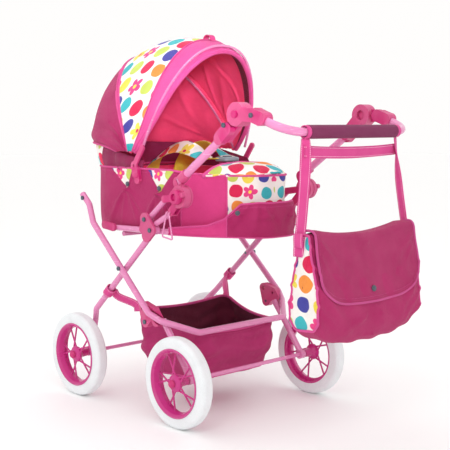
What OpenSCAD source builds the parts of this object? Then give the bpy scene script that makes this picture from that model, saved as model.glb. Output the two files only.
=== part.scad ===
// Doll stroller: a pram-style carrycot with a folding hood on a scissor frame that folds flat,
// with four spoked wheels, a two-joint handle and a shoulder bag hung from the grip.
//
// Every sub-part is drawn in side-view coordinates: x runs to the front of the stroller from
// a line above the rear axle, z runs up from the floor, and y is positive on the stroller's
// left. placed() then turns the drawing half a turn, so in the finished frame +X points to
// the handle and the origin is on the floor under the middle of the whole object's length.

/* [Wheels] */
// Outer diameter of each wheel
wheel_d = 175; // [165:1:178]
// Width of the foam tyre
tyre_w = 26; // [20:1:26]
// Outer diameter of the plastic rim
rim_d = 130; // [120:1:136]
// Distance between the rear and front axles
wheelbase = 326; // [318:1:332]
// Distance between the middles of the left and right wheels
track = 370; // [370:1:380]
// Diameter of the axle rods
axle_d = 8; // [6:0.5:9]
// Number of crossed spoke pairs in each wheel
spoke_pairs = 5; // [4:1:7]
// Diameter of one spoke
spoke_d = 3.6; // [3:0.2:4]

/* [Frame tubes] */
// Diameter of the leg tubes and of the seat rail
leg_tube_d = 12.5; // [11:0.5:12.5]
// Diameter of the handle tubes and of the grip bar
handle_tube_d = 15; // [13:0.5:15]
// Distance from the middle plane to the front leg tubes
front_leg_y = 169; // [169:0.5:170]
// Distance from the middle plane to the rear leg tubes
rear_leg_y = 182; // [182:0.5:184]
// Distance from the middle plane to the seat rails
rail_y = 154; // [152:0.5:154]

/* [Handle] */
// Half the length of the foam grip
grip_half = 118; // [100:1:118]
// Outer diameter of the foam grip
grip_d = 24; // [20:1:28]
// Radius of the bends at the ends of the grip bar
grip_bend = 42; // [38:1:46]

/* [Carrycot] */
// Half the width of the carrycot
cot_half_w = 145; // [138:1:146]
// Height of the carrycot's bottom above the floor
cot_bottom = 357; // [357:0.5:360]
// Height of the carrycot's side edge above the floor
cot_top = 478; // [470:1:480]
// Thickness of the padded carrycot wall
cot_wall = 5; // [3:0.5:7]

/* [Hood] */
// Half the width of the hood's outer shell
hood_half_w = 148; // [146:1:149]
// Height of the hood's outer shell above its pivot
hood_height = 264; // [262:1:266]
// Angle of the open rim behind the upright, in degrees
rim_angle = 24; // [20:1:26]
// Angle of the middle bow in front of the upright, in degrees
mid_angle = 31; // [29:1:31]
// Thickness of each hood shell
hood_wall = 2.6; // [2:0.2:3]

/* [Bag] */
// Half the width of the bag
bag_half_w = 143; // [136:1:144]
// Width of the shoulder strap
strap_w = 26; // [20:1:28]

/* [Hidden] */

// Gap between nested hood shells
nest_gap = 0.7;
inner_step = hood_wall + nest_gap;

// Running gap between parts that turn in each other
run_gap = 0.05;
leg_r = leg_tube_d / 2;
handle_r = handle_tube_d / 2;
wheel_r = wheel_d / 2;
axle_r = axle_d / 2;
half_track = track / 2;
rear_axle_at = [0, wheel_r];
front_axle_at = [wheelbase, wheel_r];

// Points of the folding frame, in side view
fold_pivot = [88, 369];
cross_pivot = [178, 286];
hub_pivot = [3, 438];
tilt_pivot = [-150, 590];
grip_at = [-262, 560];
hood_pivot = [172, 490];
ring_pivot = [40, 408];
lower_bracket_at = [92, 207];
support_bolt_at = [221, 362];

// Bolts and pins
pin_r = 3;
bolt_head_r = 4.4;
bolt_head_h = 2.4;

// Thickness of the plastic bracket plates
plate_t = 5;

// Lowest rear edge of the bag's flap, which is the rearmost point of the whole object
flap_low = [-316.4, 272];
// Angle of the hood's front edge in front of the upright, and the foremost point that it makes
front_angle = 84;
hood_front = hood_pivot[0] + (hood_height - inner_step) * sin(front_angle);
shift_x = (hood_front + flap_low[0]) / 2;

// Wider than half the object, for cuts and outlines that run right across it
wide = 200;

$fn = 48;

// Colours
HOT_PINK = "#EE4A9A";
PALE_PINK = "#F9C3DE";
MAGENTA = "#D6317F";
DARK_MAGENTA = "#A8286E";
TYRE_WHITE = "#E6EEF0";
BOLT_GREY = "#5A6470";
RIM_PINK = "#D8389A";
LINING = "#FF3068";
PRINT = "#F4EDE0";
BUCKLE_GREY = "#8C98A0";

module placed() {
    translate([shift_x, 0, 0])
        rotate([0, 0, 180])
            children();
}

module both_sides() {
    children();
    mirror([0, 1, 0])
        children();
}

// side is 1 for the stroller's left and -1 for its right
module on_side(side) {
    if (side > 0)
        children();
    else
        mirror([0, 1, 0])
            children();
}

// A disc or pin along y at a side-view point, from y0 to y1
module pin_y(at, r, y0, y1) {
    translate([at[0], y1, at[1]])
        rotate([90, 0, 0])
            cylinder(r = r, h = y1 - y0);
}

// An upright plate with its outline in side view, from y0 to y1
module plate_y(y0, y1) {
    translate([0, y1, 0])
        rotate([90, 0, 0])
            linear_extrude(y1 - y0)
                children();
}

// A bar with round ends between two flat points, its middle a hair narrower than its ends
module bar_2d(a, b, r) {
    waist = 0.25;
    along = b - a;
    translate(a)
        circle(r);
    translate(b)
        circle(r);
    translate(a)
        rotate(atan2(along[1], along[0]))
            translate([0, waist - r])
                square([norm(along), 2 * (r - waist)]);
}

function unit(v) = v / norm(v);
// A straight rod from a to b
module rod(a, b, r) {
    v = b - a;
    translate(a)
        rotate([0, acos(v[2] / norm(v)), atan2(v[1], v[0])])
            cylinder(r = r, h = norm(v));
}

// Points along the arc that rounds corner b of a route
function corner_arc(a, b, c, bend_r, n) =
    let (
        d1 = unit(b - a),
        d2 = unit(c - b),
        turn = acos(d1 * d2),
        toward = cross(unit(cross(d1, d2)), d1),
        centre = b - d1 * bend_r * tan(turn / 2) + toward * bend_r
    )
    [for (i = [0 : n]) centre + bend_r * (d1 * sin(turn * i / n) - toward * cos(turn * i / n))];

function rounded_route(p, bend_r, n) = concat(
    [p[0]],
    [for (i = [1 : len(p) - 2]) each corner_arc(p[i - 1], p[i], p[i + 1], bend_r, n)],
    [p[len(p) - 1]]
);

function tangent(p, i) =
    i == 0 ? unit(p[1] - p[0]) :
    i == len(p) - 1 ? unit(p[i] - p[i - 1]) :
    unit(unit(p[i + 1] - p[i]) + unit(p[i] - p[i - 1]));

// Side directions carried along the route without twist
function carried(p, i, side) =
    let (t = tangent(p, i), s = unit(side - t * (side * t)))
    i == len(p) - 1 ? [s] : concat([s], carried(p, i + 1, s));

// A bent tube along a route of points, swept as one piece
module bent_tube(p, r, bend_r, bend_steps = 5, sides = 20) {
    path = rounded_route(p, bend_r, bend_steps);
    last = len(path) - 1;
    across = carried(path, 0, [0.31, 0.2, 0.93]);
    points = [
        for (i = [0 : last])
            let (up = cross(tangent(path, i), across[i]))
                for (k = [0 : sides - 1])
                    path[i] + r * (across[i] * cos(360 * k / sides) + up * sin(360 * k / sides))
    ];
    walls = [
        for (i = [0 : last - 1])
            for (k = [0 : sides - 1])
                let (n = (k + 1) % sides)
                    [i * sides + k, (i + 1) * sides + k, (i + 1) * sides + n, i * sides + n]
    ];
    start_cap = [for (k = [0 : sides - 1]) k];
    end_cap = [for (k = [sides - 1 : -1 : 0]) last * sides + k];
    polyhedron(points, concat(walls, [start_cap, end_cap]));
}

// ---------------------------------------------------------------- wheels

rim_r = rim_d / 2;
hub_in = 20;
hub_out = 14;

module at_wheel(axle_at, side) {
    on_side(side)
        translate([axle_at[0], half_track, axle_at[1]])
            rotate([-90, 0, 0])
                children();
}

module tyre(axle_at, side) {
    shoulder = 8;
    half_w = tyre_w / 2;
    color(TYRE_WHITE)
        placed()
            at_wheel(axle_at, side)
                rotate_extrude($fn = 96)
                    union() {
                        translate([rim_r, -half_w])
                            square([wheel_r - rim_r - shoulder, tyre_w]);
                        translate([rim_r, -half_w + shoulder])
                            square([wheel_r - rim_r, tyre_w - 2 * shoulder]);
                        for (y = [-1, 1])
                            translate([wheel_r - shoulder, y * (half_w - shoulder)])
                                circle(shoulder);
                    }
}

module spokes() {
    hub_spread = 22;
    rim_spread = 11;
    hub_end = 14;
    rim_end = rim_r - 5;
    for (i = [0 : spoke_pairs - 1])
        for (lean = [-1, 1]) {
            a = i * 360 / spoke_pairs - lean * hub_spread;
            b = i * 360 / spoke_pairs + lean * rim_spread;
            rod(
                [hub_end * cos(a), hub_end * sin(a), 7],
                [rim_end * cos(b), rim_end * sin(b), lean],
                spoke_d / 2
            );
        }
}

module rim(axle_at, side) {
    wall = 3.5;
    half_w = tyre_w / 2;
    bore_r = axle_r + run_gap;
    color(RIM_PINK)
        placed()
            at_wheel(axle_at, side) {
                rotate_extrude($fn = 96)
                    polygon([
                        [rim_r - 9, -1.6], [rim_r - wall, -3], [rim_r - wall, -half_w],
                        [rim_r, -half_w], [rim_r, half_w + 0.1], [rim_r + 1.5, half_w + 0.6],
                        [rim_r - 1, half_w + 2.5], [rim_r - wall - 2, half_w - 2],
                        [rim_r - 9, 1.6]
                    ]);
                difference() {
                    union() {
                        spokes();
                        rotate_extrude()
                            polygon([
                                [0, -hub_in], [8, -hub_in], [9, -4], [15, 2], [17, 6],
                                [16.5, 9], [12, 12], [7, hub_out], [0, hub_out]
                            ]);
                    }
                    translate([0, 0, -hub_in - 1])
                        cylinder(r = bore_r, h = hub_in + hub_out + 2);
                }
            }
}

// The axle rods run right through both wheels
axle_half = half_track + hub_out + 4;

module axle(at) {
    color(PALE_PINK)
        placed()
            pin_y(at, axle_r, -axle_half, axle_half);
}

// Domed push-on caps that keep the wheels on the axle
module axle_caps(at) {
    cap_r = 8;
    cap_h = 7;
    start = half_track + hub_out + 0.5;
    color(HOT_PINK)
        placed()
            both_sides()
                difference() {
                    translate([at[0], start, at[1]])
                        rotate([-90, 0, 0])
                            rotate_extrude()
                                polygon([
                                    [0, 0], [cap_r, 0], [cap_r, 2.5], [cap_r - 2, 5.5],
                                    [cap_r - 5, cap_h], [0, cap_h]
                                ]);
                    pin_y(at, axle_r, start - 1, axle_half);
                }
}

// ---------------------------------------------------------------- front legs

leg_foot_y = 155;
lug_r = 9;
// Half the length of a lug welded to a leg tube, just proud of the tube
lug_half = leg_r + 0.12;
leg_top = fold_pivot + [6, -6];
leg_knee = [283, 188];

// A leg foot: a ring round the axle
module foot_ring(at) {
    pin_y(at, lug_r, leg_foot_y - lug_half, leg_foot_y + lug_half);
}

module front_leg(side) {
    route = [
        [leg_top[0], front_leg_y, leg_top[1]], [leg_knee[0], front_leg_y, leg_knee[1]],
        [306, leg_foot_y, 160], [front_axle_at[0], leg_foot_y, front_axle_at[1] + 5]
    ];
    color(PALE_PINK)
        placed()
            on_side(side)
                difference() {
                    union() {
                        bent_tube(route, leg_r, 20);
                        foot_ring(front_axle_at);
                        pin_y(fold_pivot, lug_r, front_leg_y - lug_half, front_leg_y + lug_half);
                    }
                    pin_y(front_axle_at, axle_r, 0, wide);
                    pin_y(fold_pivot, pin_r, 0, wide);
                    pin_y(cross_pivot, pin_r, 0, wide);
                }
}

// Plastic plates that join the leg, the push tubes and the seat rail
bracket_y = front_leg_y + leg_r + 0.3;
strut_foot = [105, 389];
strut_top = [52, 431];
push_foot = [82, 382];
push_top = [32, 407.5];

module upper_brackets() {
    lobe_low = [100, 358];
    lobe_front = [112, 370];
    color(HOT_PINK)
        placed()
            both_sides()
                difference() {
                    plate_y(bracket_y, bracket_y + plate_t) {
                        bar_2d(fold_pivot, strut_foot, 13);
                        bar_2d(fold_pivot, lobe_low, 13);
                        bar_2d(strut_foot, lobe_front, 9);
                    }
                    pin_y(fold_pivot, pin_r, 0, wide);
                    pin_y(strut_foot, pin_r, 0, wide);
                }
}

// Thin tubes between the upper bracket and the hub casting
push_r = 5.5;
push_from = [push_foot[0], front_leg_y, push_foot[1]];
push_to = [push_top[0], front_leg_y, push_top[1]];
strut_from = [strut_foot[0], front_leg_y, strut_foot[1]];
strut_to = [strut_top[0], front_leg_y, strut_top[1]];

module push_tubes() {
    color(PALE_PINK)
        placed()
            both_sides()
                difference() {
                    union() {
                        rod(push_from, push_to, push_r);
                        rod(strut_from, strut_to, push_r);
                        pin_y(strut_foot, 7, front_leg_y - lug_half, front_leg_y + lug_half);
                    }
                    pin_y(strut_foot, pin_r, 0, wide);
                    pin_y(fold_pivot, lug_r + 0.2, 0, wide);
                    pin_y(hub_pivot, sweep_r, 0, wide);
                }
}

// The hub casting is a clevis: two cheeks with the handle's hub between them
cheek_in = 161.6;
disc_in = 165.3;
disc_out = 172.7;
cheek_out = 181;
hub_r = 21;
// Outer face of the casting's two arms
arm_out = 175.4;
// Radius inside which the handle's hub and arm sweep
sweep_r = 41.5;

module hub_casting(side) {
    color(HOT_PINK)
        placed()
            on_side(side)
                difference() {
                    union() {
                        pin_y(hub_pivot, hub_r, cheek_in, cheek_out);
                        plate_y(cheek_in, arm_out) {
                            bar_2d(hub_pivot, push_top, 8);
                            bar_2d(hub_pivot, strut_top, 7);
                        }
                    }
                    pin_y(hub_pivot, sweep_r, disc_in - 0.3, disc_out + 0.3);
                    pin_y(hub_pivot, pin_r, 0, wide);
                    rod(push_from, push_to, push_r);
                    rod(strut_from, strut_to, push_r);
                }
}

module bolt(at, y0, y1) {
    pin_y(at, pin_r - run_gap, y0, y1);
    pin_y(at, bolt_head_r, y1, y1 + bolt_head_h);
}

module front_frame_bolts() {
    color(BOLT_GREY)
        placed()
            both_sides() {
                bolt(fold_pivot, rail_y + leg_r + 1.4, bracket_y + plate_t);
                bolt(strut_foot, front_leg_y - leg_r, bracket_y + plate_t);
                bolt(cross_pivot, front_leg_y - leg_r, rear_leg_y + leg_r + 0.2);
                pin_y(hub_pivot, pin_r - run_gap, cheek_in, cheek_out);
            }
}

// Wire ring that drops over the rail to lock the frame open
module lock_ring(side) {
    wire = 1.6;
    ring_y = 179;
    end_y = 175.8;
    route = [
        [ring_pivot[0] - 1, end_y, ring_pivot[1]], [ring_pivot[0] - 1, ring_y, ring_pivot[1]],
        [52, ring_y, 360], [22, ring_y, 356],
        [ring_pivot[0] - 7, ring_y, ring_pivot[1] - 1], [ring_pivot[0] - 7, end_y, ring_pivot[1] - 1]
    ];
    color(PALE_PINK)
        placed()
            on_side(side)
                bent_tube(route, wire, 2.8, 4, 12);
}

// Round locking knob with a dished middle on the outside of the hub
module hub_knob(side) {
    start = cheek_out + 0.3;
    pointer = [-17, 5];
    color(HOT_PINK)
        placed()
            on_side(side)
                union() {
                    translate([hub_pivot[0], start, hub_pivot[1]])
                        rotate([-90, 0, 0])
                            rotate_extrude()
                                polygon([
                                    [0, 0], [13, 0], [14, 2], [14, 9],
                                    [12, 12], [7, 12], [6, 6], [0, 6]
                                ]);
                    plate_y(start + 1, start + 8)
                        bar_2d(hub_pivot, hub_pivot + pointer, 5);
                }
}

// ---------------------------------------------------------------- rear legs and basket

hoop_x = 16;
hoop_half = 118;
hoop_z = 171;

// The same route on the other side, run backwards
function mirrored(p) = [for (i = [len(p) - 1 : -1 : 0]) [p[i][0], -p[i][1], p[i][2]]];

// Where the rear tube leaves the side and turns in to the hoop behind the basket
turn_in = [lower_bracket_at[0], rear_leg_y, lower_bracket_at[1]];
hoop_bend = [70, 170, 193];
hoop_end = [hoop_x, hoop_half, hoop_z];

rear_route = [
    [308, rear_leg_y, 428], [285, rear_leg_y, 408], [272, rear_leg_y, 371],
    turn_in, hoop_bend, hoop_end
];

module rear_frame_tube() {
    color(PALE_PINK)
        placed()
            difference() {
                bent_tube(concat(rear_route, mirrored(rear_route)), leg_r, 14);
                both_sides()
                    pin_y(cross_pivot, pin_r, 0, wide);
            }
}

stub_top = [80, 192];

module leg_stubs() {
    route = [
        [stub_top[0], leg_foot_y, stub_top[1]], [52, leg_foot_y, 158],
        [rear_axle_at[0] + 2, leg_foot_y, rear_axle_at[1] + 5]
    ];
    color(PALE_PINK)
        placed()
            both_sides()
                difference() {
                    union() {
                        bent_tube(route, leg_r, 30);
                        foot_ring(rear_axle_at);
                    }
                    pin_y(rear_axle_at, axle_r, 0, wide);
                }
}

// Three-lobed plastic bracket between the rear tube and the leg stub
lobe_front = [112, 186];
lobe_hole = [120, 214];

module lower_bracket(side) {
    tube_room = 3;
    hoop_room = 1.2;
    inner = leg_foot_y + leg_r + 0.2;
    outer = rear_leg_y - leg_r - 0.3;
    color(HOT_PINK)
        placed()
            on_side(side)
                difference() {
                    plate_y(inner, outer) {
                        bar_2d(lower_bracket_at, lobe_front, 11);
                        bar_2d(lower_bracket_at, lobe_hole, 11);
                        bar_2d(lobe_front, lobe_hole, 11);
                        bar_2d(lower_bracket_at, stub_top, 11);
                    }
                    pin_y(lower_bracket_at, pin_r, 0, wide);
                    pin_y(lobe_front, pin_r, 0, wide);
                    pin_y(lobe_hole, 5, 0, wide);
                    rod(turn_in, hoop_bend + 6 * unit(hoop_bend - turn_in), leg_r + tube_room);
                    rod(hoop_bend, hoop_end, leg_r + hoop_room);
                }
}

module rear_frame_bolts() {
    end_bolt_at = [299, 420.4];
    color(BOLT_GREY)
        placed()
            both_sides() {
                bolt(lobe_front, leg_foot_y + leg_r + 0.2, rear_leg_y - leg_r - 0.3);
                pin_y(end_bolt_at, bolt_head_r, rear_leg_y + leg_r + 0.2, rear_leg_y + leg_r + bolt_head_h);
            }
}

// Corners of the basket: side view, and half widths at its front and rear
basket_front_top = [199, 195];
basket_rear_top = [25, 170];
basket_front_low = [188, 58];
basket_rear_low = [38, 66];
basket_half_front = 124;
basket_half_rear = 100;

// The basket's outer form drawn in by t on every side, and open above the edge if open is true
module basket_form(t, open) {
    rise = open ? 40 : 0;
    intersection() {
        plate_y(-wide, wide)
            polygon([
                basket_rear_top + [t, rise], basket_rear_low + [t, t],
                basket_front_low + [-t, t], basket_front_top + [-t, rise]
            ]);
        linear_extrude(300)
            polygon([
                [basket_rear_top[0], -basket_half_rear + t], [basket_front_top[0], -basket_half_front + t],
                [basket_front_top[0], basket_half_front - t], [basket_rear_top[0], basket_half_rear - t]
            ]);
    }
}

module basket() {
    color(MAGENTA)
        placed()
            difference() {
                basket_form(0, false);
                basket_form(2.5, true);
            }
}

strap_loop_at = leg_top + 0.75 * (leg_knee - leg_top);

// Webbing loops that hang the front of the basket from the front legs
module basket_straps() {
    slope = atan2(leg_knee[1] - leg_top[1], leg_knee[0] - leg_top[0]);
    cord_top = [224, front_leg_y - 11, 226];
    cord_foot = [basket_front_top[0] + 6, basket_half_front + 4, basket_front_top[1] + 5];
    color(HOT_PINK)
        placed()
            both_sides() {
                translate([strap_loop_at[0], front_leg_y, strap_loop_at[1]])
                    rotate([0, 90 - slope, 0])
                        difference() {
                            cylinder(r = leg_r + 2, h = 22, center = true);
                            cylinder(r = leg_r + 0.3, h = 24, center = true);
                        }
                rod(cord_top, cord_foot, 2);
            }
}

// ---------------------------------------------------------------- handle

tube_foot = [16, 464];
tube_head = [-116, 556];
handle_y = front_leg_y;
tube_from = [tube_foot[0], handle_y, tube_foot[1]];
tube_to = [tube_head[0], handle_y, tube_head[1]];

module handle_tube(side) {
    color(PALE_PINK)
        placed()
            on_side(side)
                difference() {
                    rod(tube_from, tube_to, handle_r);
                    pin_y(tube_foot, 6, 0, wide);
                    pin_y(tilt_pivot, 25.3, 0, wide);
                }
}

// Moulded hub on the lower end of each handle tube
module handle_hubs() {
    along = unit(tube_to - tube_from);
    color(HOT_PINK)
        placed()
            both_sides()
                difference() {
                    union() {
                        pin_y(hub_pivot, hub_r - 1, disc_in, disc_out);
                        plate_y(disc_in, disc_out)
                            bar_2d(hub_pivot, tube_foot, 11);
                        rod(tube_from + 12 * along, tube_from + 30 * along, handle_r + 2.5);
                    }
                    pin_y(hub_pivot, pin_r, 0, wide);
                    rod(tube_from, tube_to, handle_r + 0.02);
                }
}

// The tilt joint: an inner half on the handle tube, an outer half on the grip bar
tilt_in = 157;
tilt_mid = 168.8;
tilt_mid_out = 169.2;
tilt_out = 181;
tilt_r = 21;
low_bolt = [-121, 571];
high_bolt = [-190, 588];
// Ends of the moulded sleeves round the handle tube and round the grip bar
lower_sleeve_top = [-126, 565];
lower_sleeve_foot = [-106, 548];
upper_sleeve_foot = [-189, 589];
upper_sleeve_top = [-208, 582];
button_r = 9;

// Where each straight end of the grip bar starts in its sleeve
grip_arm_from = [-198, handle_y, 584.7];

module adjuster_lower(side) {
    color(HOT_PINK)
        placed()
            on_side(side)
                difference() {
                    union() {
                        pin_y(tilt_pivot, tilt_r, tilt_in, tilt_mid);
                        plate_y(tilt_in, tilt_mid)
                            bar_2d(tilt_pivot, lower_sleeve_foot + [-6, 4], 12);
                        difference() {
                            plate_y(tilt_mid - 1, tilt_out - 1)
                                bar_2d(lower_sleeve_top, lower_sleeve_foot, 12);
                            pin_y(tilt_pivot, tilt_r + 3.5, 0, wide);
                        }
                    }
                    pin_y(tilt_pivot, button_r + 0.3, 0, wide);
                    rod(tube_from, tube_to, handle_r + 0.02);
                }
}

module adjuster_upper(side) {
    color(HOT_PINK)
        placed()
            on_side(side)
                difference() {
                    union() {
                        pin_y(tilt_pivot, tilt_r, tilt_mid_out, tilt_out);
                        plate_y(tilt_mid_out, tilt_out)
                            bar_2d(tilt_pivot, high_bolt, 12);
                        difference() {
                            plate_y(tilt_in + 1, tilt_mid_out + 1)
                                bar_2d(upper_sleeve_foot, upper_sleeve_top, 12);
                            pin_y(tilt_pivot, tilt_r + 3.5, 0, wide);
                        }
                        plate_y(tilt_mid_out, tilt_out)
                            bar_2d(high_bolt, upper_sleeve_top, 12);
                    }
                    pin_y(tilt_pivot, button_r + 0.3, 0, tilt_out - 3);
                    pin_y(tilt_pivot, button_r - 2, 0, wide);
                    rod([-188, handle_y, 588.6], [grip_at[0], handle_y, grip_at[1]], handle_r + 0.1);
                }
}

// Round push button that runs through both halves of the tilt joint
module adjuster_button(side) {
    travel = 4;
    color(HOT_PINK)
        placed()
            on_side(side) {
                pin_y(tilt_pivot, button_r, tilt_in + travel + 2, tilt_out - 3.2);
                pin_y(tilt_pivot, button_r - 2.3, tilt_out - 3.2, tilt_out + travel);
            }
}

module grip_bar() {
    color(PALE_PINK)
        placed()
            bent_tube([
                grip_arm_from, [grip_at[0], handle_y, grip_at[1]],
                [grip_at[0], -handle_y, grip_at[1]], [grip_arm_from[0], -handle_y, grip_arm_from[2]]
            ], handle_r, grip_bend, 10, 24);
}

// Screws through the sleeves of the tilt joint: tube side on the handle, bar side on the grip
module screw_heads(at, face) {
    color(BOLT_GREY)
        placed()
            both_sides()
                pin_y(at, bolt_head_r, face + 0.02, face + bolt_head_h);
}

module handle_screws() {
    screw_heads(low_bolt, tilt_out - 1);
}

module grip_screws() {
    screw_heads(high_bolt, tilt_out);
}

module grip_foam() {
    color(DARK_MAGENTA)
        placed()
            difference() {
                pin_y(grip_at, grip_d / 2, -grip_half, grip_half);
                pin_y(grip_at, handle_r + 0.02, -grip_half - 1, grip_half + 1);
            }
}

// ---------------------------------------------------------------- bag

bag_top = 390;
bag_low = 192;
bag_front_top = -263;
bag_rear_top = -293;
bag_rear_low = -315;
bag_front_low = -242;

// Side view of the bag, drawn in by t
module bag_side(t, rise) {
    polygon([
        [bag_rear_top + t, bag_top + rise], [bag_rear_low + t, 260], [bag_rear_low + t, 214],
        [-303, bag_low + t], [-252, bag_low + t], [bag_front_low - t, 214],
        [bag_front_low - t, 250], [bag_front_top - t, bag_top + rise]
    ]);
}

module bag_body() {
    skin = 2;
    color(MAGENTA)
        placed()
            difference() {
                plate_y(-bag_half_w, bag_half_w)
                    bag_side(0, 0);
                plate_y(-bag_half_w + skin, bag_half_w - skin)
                    bag_side(skin, 10);
            }
}

flap_gap = 0.6;
flap_half_w = bag_half_w - 7;

// Flap hinged along the bag's edge next to the stroller
module bag_flap() {
    t = 2;
    top = bag_top + flap_gap;
    color(MAGENTA)
        placed() {
            translate([bag_rear_top - 3, -flap_half_w, top])
                cube([bag_front_top - bag_rear_top + 3, 2 * flap_half_w, t]);
            plate_y(-flap_half_w, flap_half_w)
                polygon([
                    [bag_rear_top - flap_gap, top], [bag_rear_top - flap_gap - t, top],
                    flap_low, flap_low + [2.2, 0]
                ]);
        }
}

// Shoulder strap wrapped round both ends of the grip, with a run across under the grip
module bag_straps() {
    t = 1.6;
    wrap_y = 6;
    run_drop = 33;
    foot_z = 378;
    foot_y = bag_half_w + 5;
    head_z = 552;
    head_y = 122.5;
    run_half = 127;
    strap_x = -284;
    color(HOT_PINK)
        placed() {
            both_sides() {
                difference() {
                    pin_y(grip_at, handle_r + 2.4, grip_half + 0.3, grip_half + wrap_y + 0.3);
                    pin_y(grip_at, handle_r + run_gap, 0, wide);
                }
                translate([strap_x, 0, 0])
                    rotate([90, 0, 90])
                        linear_extrude(strap_w)
                            polygon([
                                [foot_y, foot_z], [foot_y + t, foot_z],
                                [head_y + t, head_z], [head_y, head_z]
                            ]);
                translate([strap_x, bag_half_w + 0.2, foot_z - 6])
                    cube([18, 6.4, 12]);
            }
            translate([grip_at[0] - t / 2, -run_half, grip_at[1] - run_drop - strap_w / 2])
                cube([t, 2 * run_half, strap_w]);
        }
}

// ---------------------------------------------------------------- seat frame and carrycot

rail_z = 366;
rail_r = 6;

// The carrycot narrows towards the feet: its rear corners are rounds about these centres
shoulder = [84, 100];
tail = [-25, 12];
taper = atan2(shoulder[1] - tail[1], shoulder[0] - tail[0]);
rail_bend = rail_y - shoulder[1];
rail_rear = tail[0] - rail_bend;

rail_route = [
    [226, rail_y, 362],
    [shoulder[0] - rail_bend * tan(taper / 2), rail_y, rail_z],
    [rail_rear, tail[1] + rail_bend * tan(45 - taper / 2), rail_z]
];

// The seat rail: a tube up both sides and across the rear, and a cross tube under the front
module seat_rail() {
    color(PALE_PINK)
        placed() {
            difference() {
                bent_tube(concat(rail_route, mirrored(rail_route)), rail_r, rail_bend, 9);
                both_sides()
                    pin_y(fold_pivot, pin_r, rail_y - 2, wide);
            }
            rod([216, -rail_y + rail_r + 1, 350], [216, rail_y - rail_r - 1, 350], 5);
        }
}

// Short links at the front of the rail that the rear leg tubes rest against
module support_links() {
    inner = rail_y + rail_r + 0.4;
    color(HOT_PINK)
        placed()
            both_sides()
                plate_y(inner, inner + plate_t)
                    bar_2d(support_bolt_at + [8, 1], [258, 366], 8);
}

function arc_points(c, r, from, to, steps) = [
    for (i = [0 : steps])
        let (a = from + (to - from) * i / steps)
            c + r * [cos(a), sin(a)]
];

// Flat outline at a distance r round the four rear centres, with a rounded front
module tapered_outline(r, x1, r_front) {
    front = [x1 - r_front, shoulder[1] + r - r_front];
    half = concat(
        arc_points(front, r_front, 0, 90, 16),
        arc_points(shoulder, r, 90, 90 + taper, 8),
        arc_points(tail, r, 90 + taper, 180, 10)
    );
    polygon(concat(half, [for (i = [len(half) - 1 : -1 : 0]) [half[i][0], -half[i][1]]]));
}

cot_rear_r = cot_half_w - shoulder[1];
cot_rear = tail[0] - cot_rear_r;
cot_front = 370;

module cot_outline(t) {
    tapered_outline(cot_rear_r - t, cot_front - t, 112 - t);
}

module slab(z0, z1) {
    translate([0, 0, z0])
        linear_extrude(z1 - z0)
            children();
}

module carrycot_tub() {
    color(MAGENTA)
        placed()
            difference() {
                slab(cot_bottom, cot_top)
                    cot_outline(0);
                slab(cot_bottom + 2.5, cot_top + 1)
                    cot_outline(cot_wall);
            }
}

module base_board() {
    color("#D9C7A8")
        placed()
            slab(cot_bottom + 2.7, cot_bottom + 6.7)
                cot_outline(cot_wall + 2);
}

module mattress() {
    color(LINING)
        placed()
            slab(cot_bottom + 7, cot_bottom + 27)
                cot_outline(cot_wall + 3);
}

cover_front = 14;

// Cover over the doll's feet: a padded lid with a raised front edge
module foot_cover() {
    t = 3;
    color(PRINT)
        placed()
            difference() {
                intersection() {
                    slab(cot_top + 0.4, cot_top + 34)
                        cot_outline(1);
                    plate_y(-wide, wide)
                        polygon([
                            [cot_rear, cot_top], [cover_front, cot_top], [cover_front, cot_top + 22],
                            [-10, cot_top + 22], [-42, cot_top + 17], [cot_rear, cot_top + 5]
                        ]);
                }
                intersection() {
                    slab(cot_top - 1, cot_top + 31)
                        cot_outline(cot_wall + 3);
                    plate_y(-wide, wide)
                        polygon([
                            [cot_rear + t, cot_top - 1], [cover_front + 1, cot_top - 1],
                            [cover_front + 1, cot_top + 22 - t],
                            [-10, cot_top + 22 - t], [-42, cot_top + 17 - t],
                            [cot_rear + t, cot_top + 5 - t]
                        ]);
                }
            }
}

// Fabric apron round the rear end of the seat rail
module rear_apron() {
    outer_y = 161.2;
    outer_r = outer_y - shoulder[1];
    rear = tail[0] - outer_r - 1;
    color(HOT_PINK)
        placed()
            difference() {
                intersection() {
                    slab(354, 428)
                        tapered_outline(outer_r, 200, 22);
                    plate_y(-wide, wide)
                        polygon([
                            [rear, 355], [40, 357], [40, 376], [0, 379],
                            [-26, 393], [-50, 421], [rear, 425]
                        ]);
                }
                slab(350, 440)
                    tapered_outline(outer_r - 1.1, 220, 21);
            }
}

// ---------------------------------------------------------------- harness

mattress_top = cot_bottom + 27;
buckle_from = 44;
buckle_l = 38;
buckle_z = cot_top + 20;

// Two padded shoulder straps that stand up from the mattress and arch over to the buckle
module harness() {
    pad_w = 34;
    pad_t = 6;
    crown = cot_top + 50;
    color(PRINT)
        placed()
            both_sides()
                plate_y(22, 22 + pad_w)
                    polygon([
                        [262, mattress_top + 0.4], [259, cot_top - 10], [216, crown - 16], [160, crown],
                        [104, crown - 16], [buckle_from + buckle_l + 2, buckle_z + 9],
                        [buckle_from + buckle_l + 2, buckle_z + 9 - pad_t], [104, crown - 16 - pad_t],
                        [160, crown - pad_t], [212, crown - 16 - pad_t], [259 - pad_t, cot_top - 13],
                        [262 - pad_t, mattress_top + 0.4]
                    ]);
}

// The buckle, on a stiff strap that stands up from the mattress between the doll's legs
module harness_buckle() {
    stem_x = buckle_from + 8;
    color(BUCKLE_GREY)
        placed() {
            translate([buckle_from, -21, buckle_z])
                cube([buckle_l, 42, 9]);
            translate([stem_x, -9, mattress_top + 0.4])
                cube([4, 18, buckle_z - mattress_top]);
        }
}

// ---------------------------------------------------------------- hood

bracket_in = 149.2;

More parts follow.
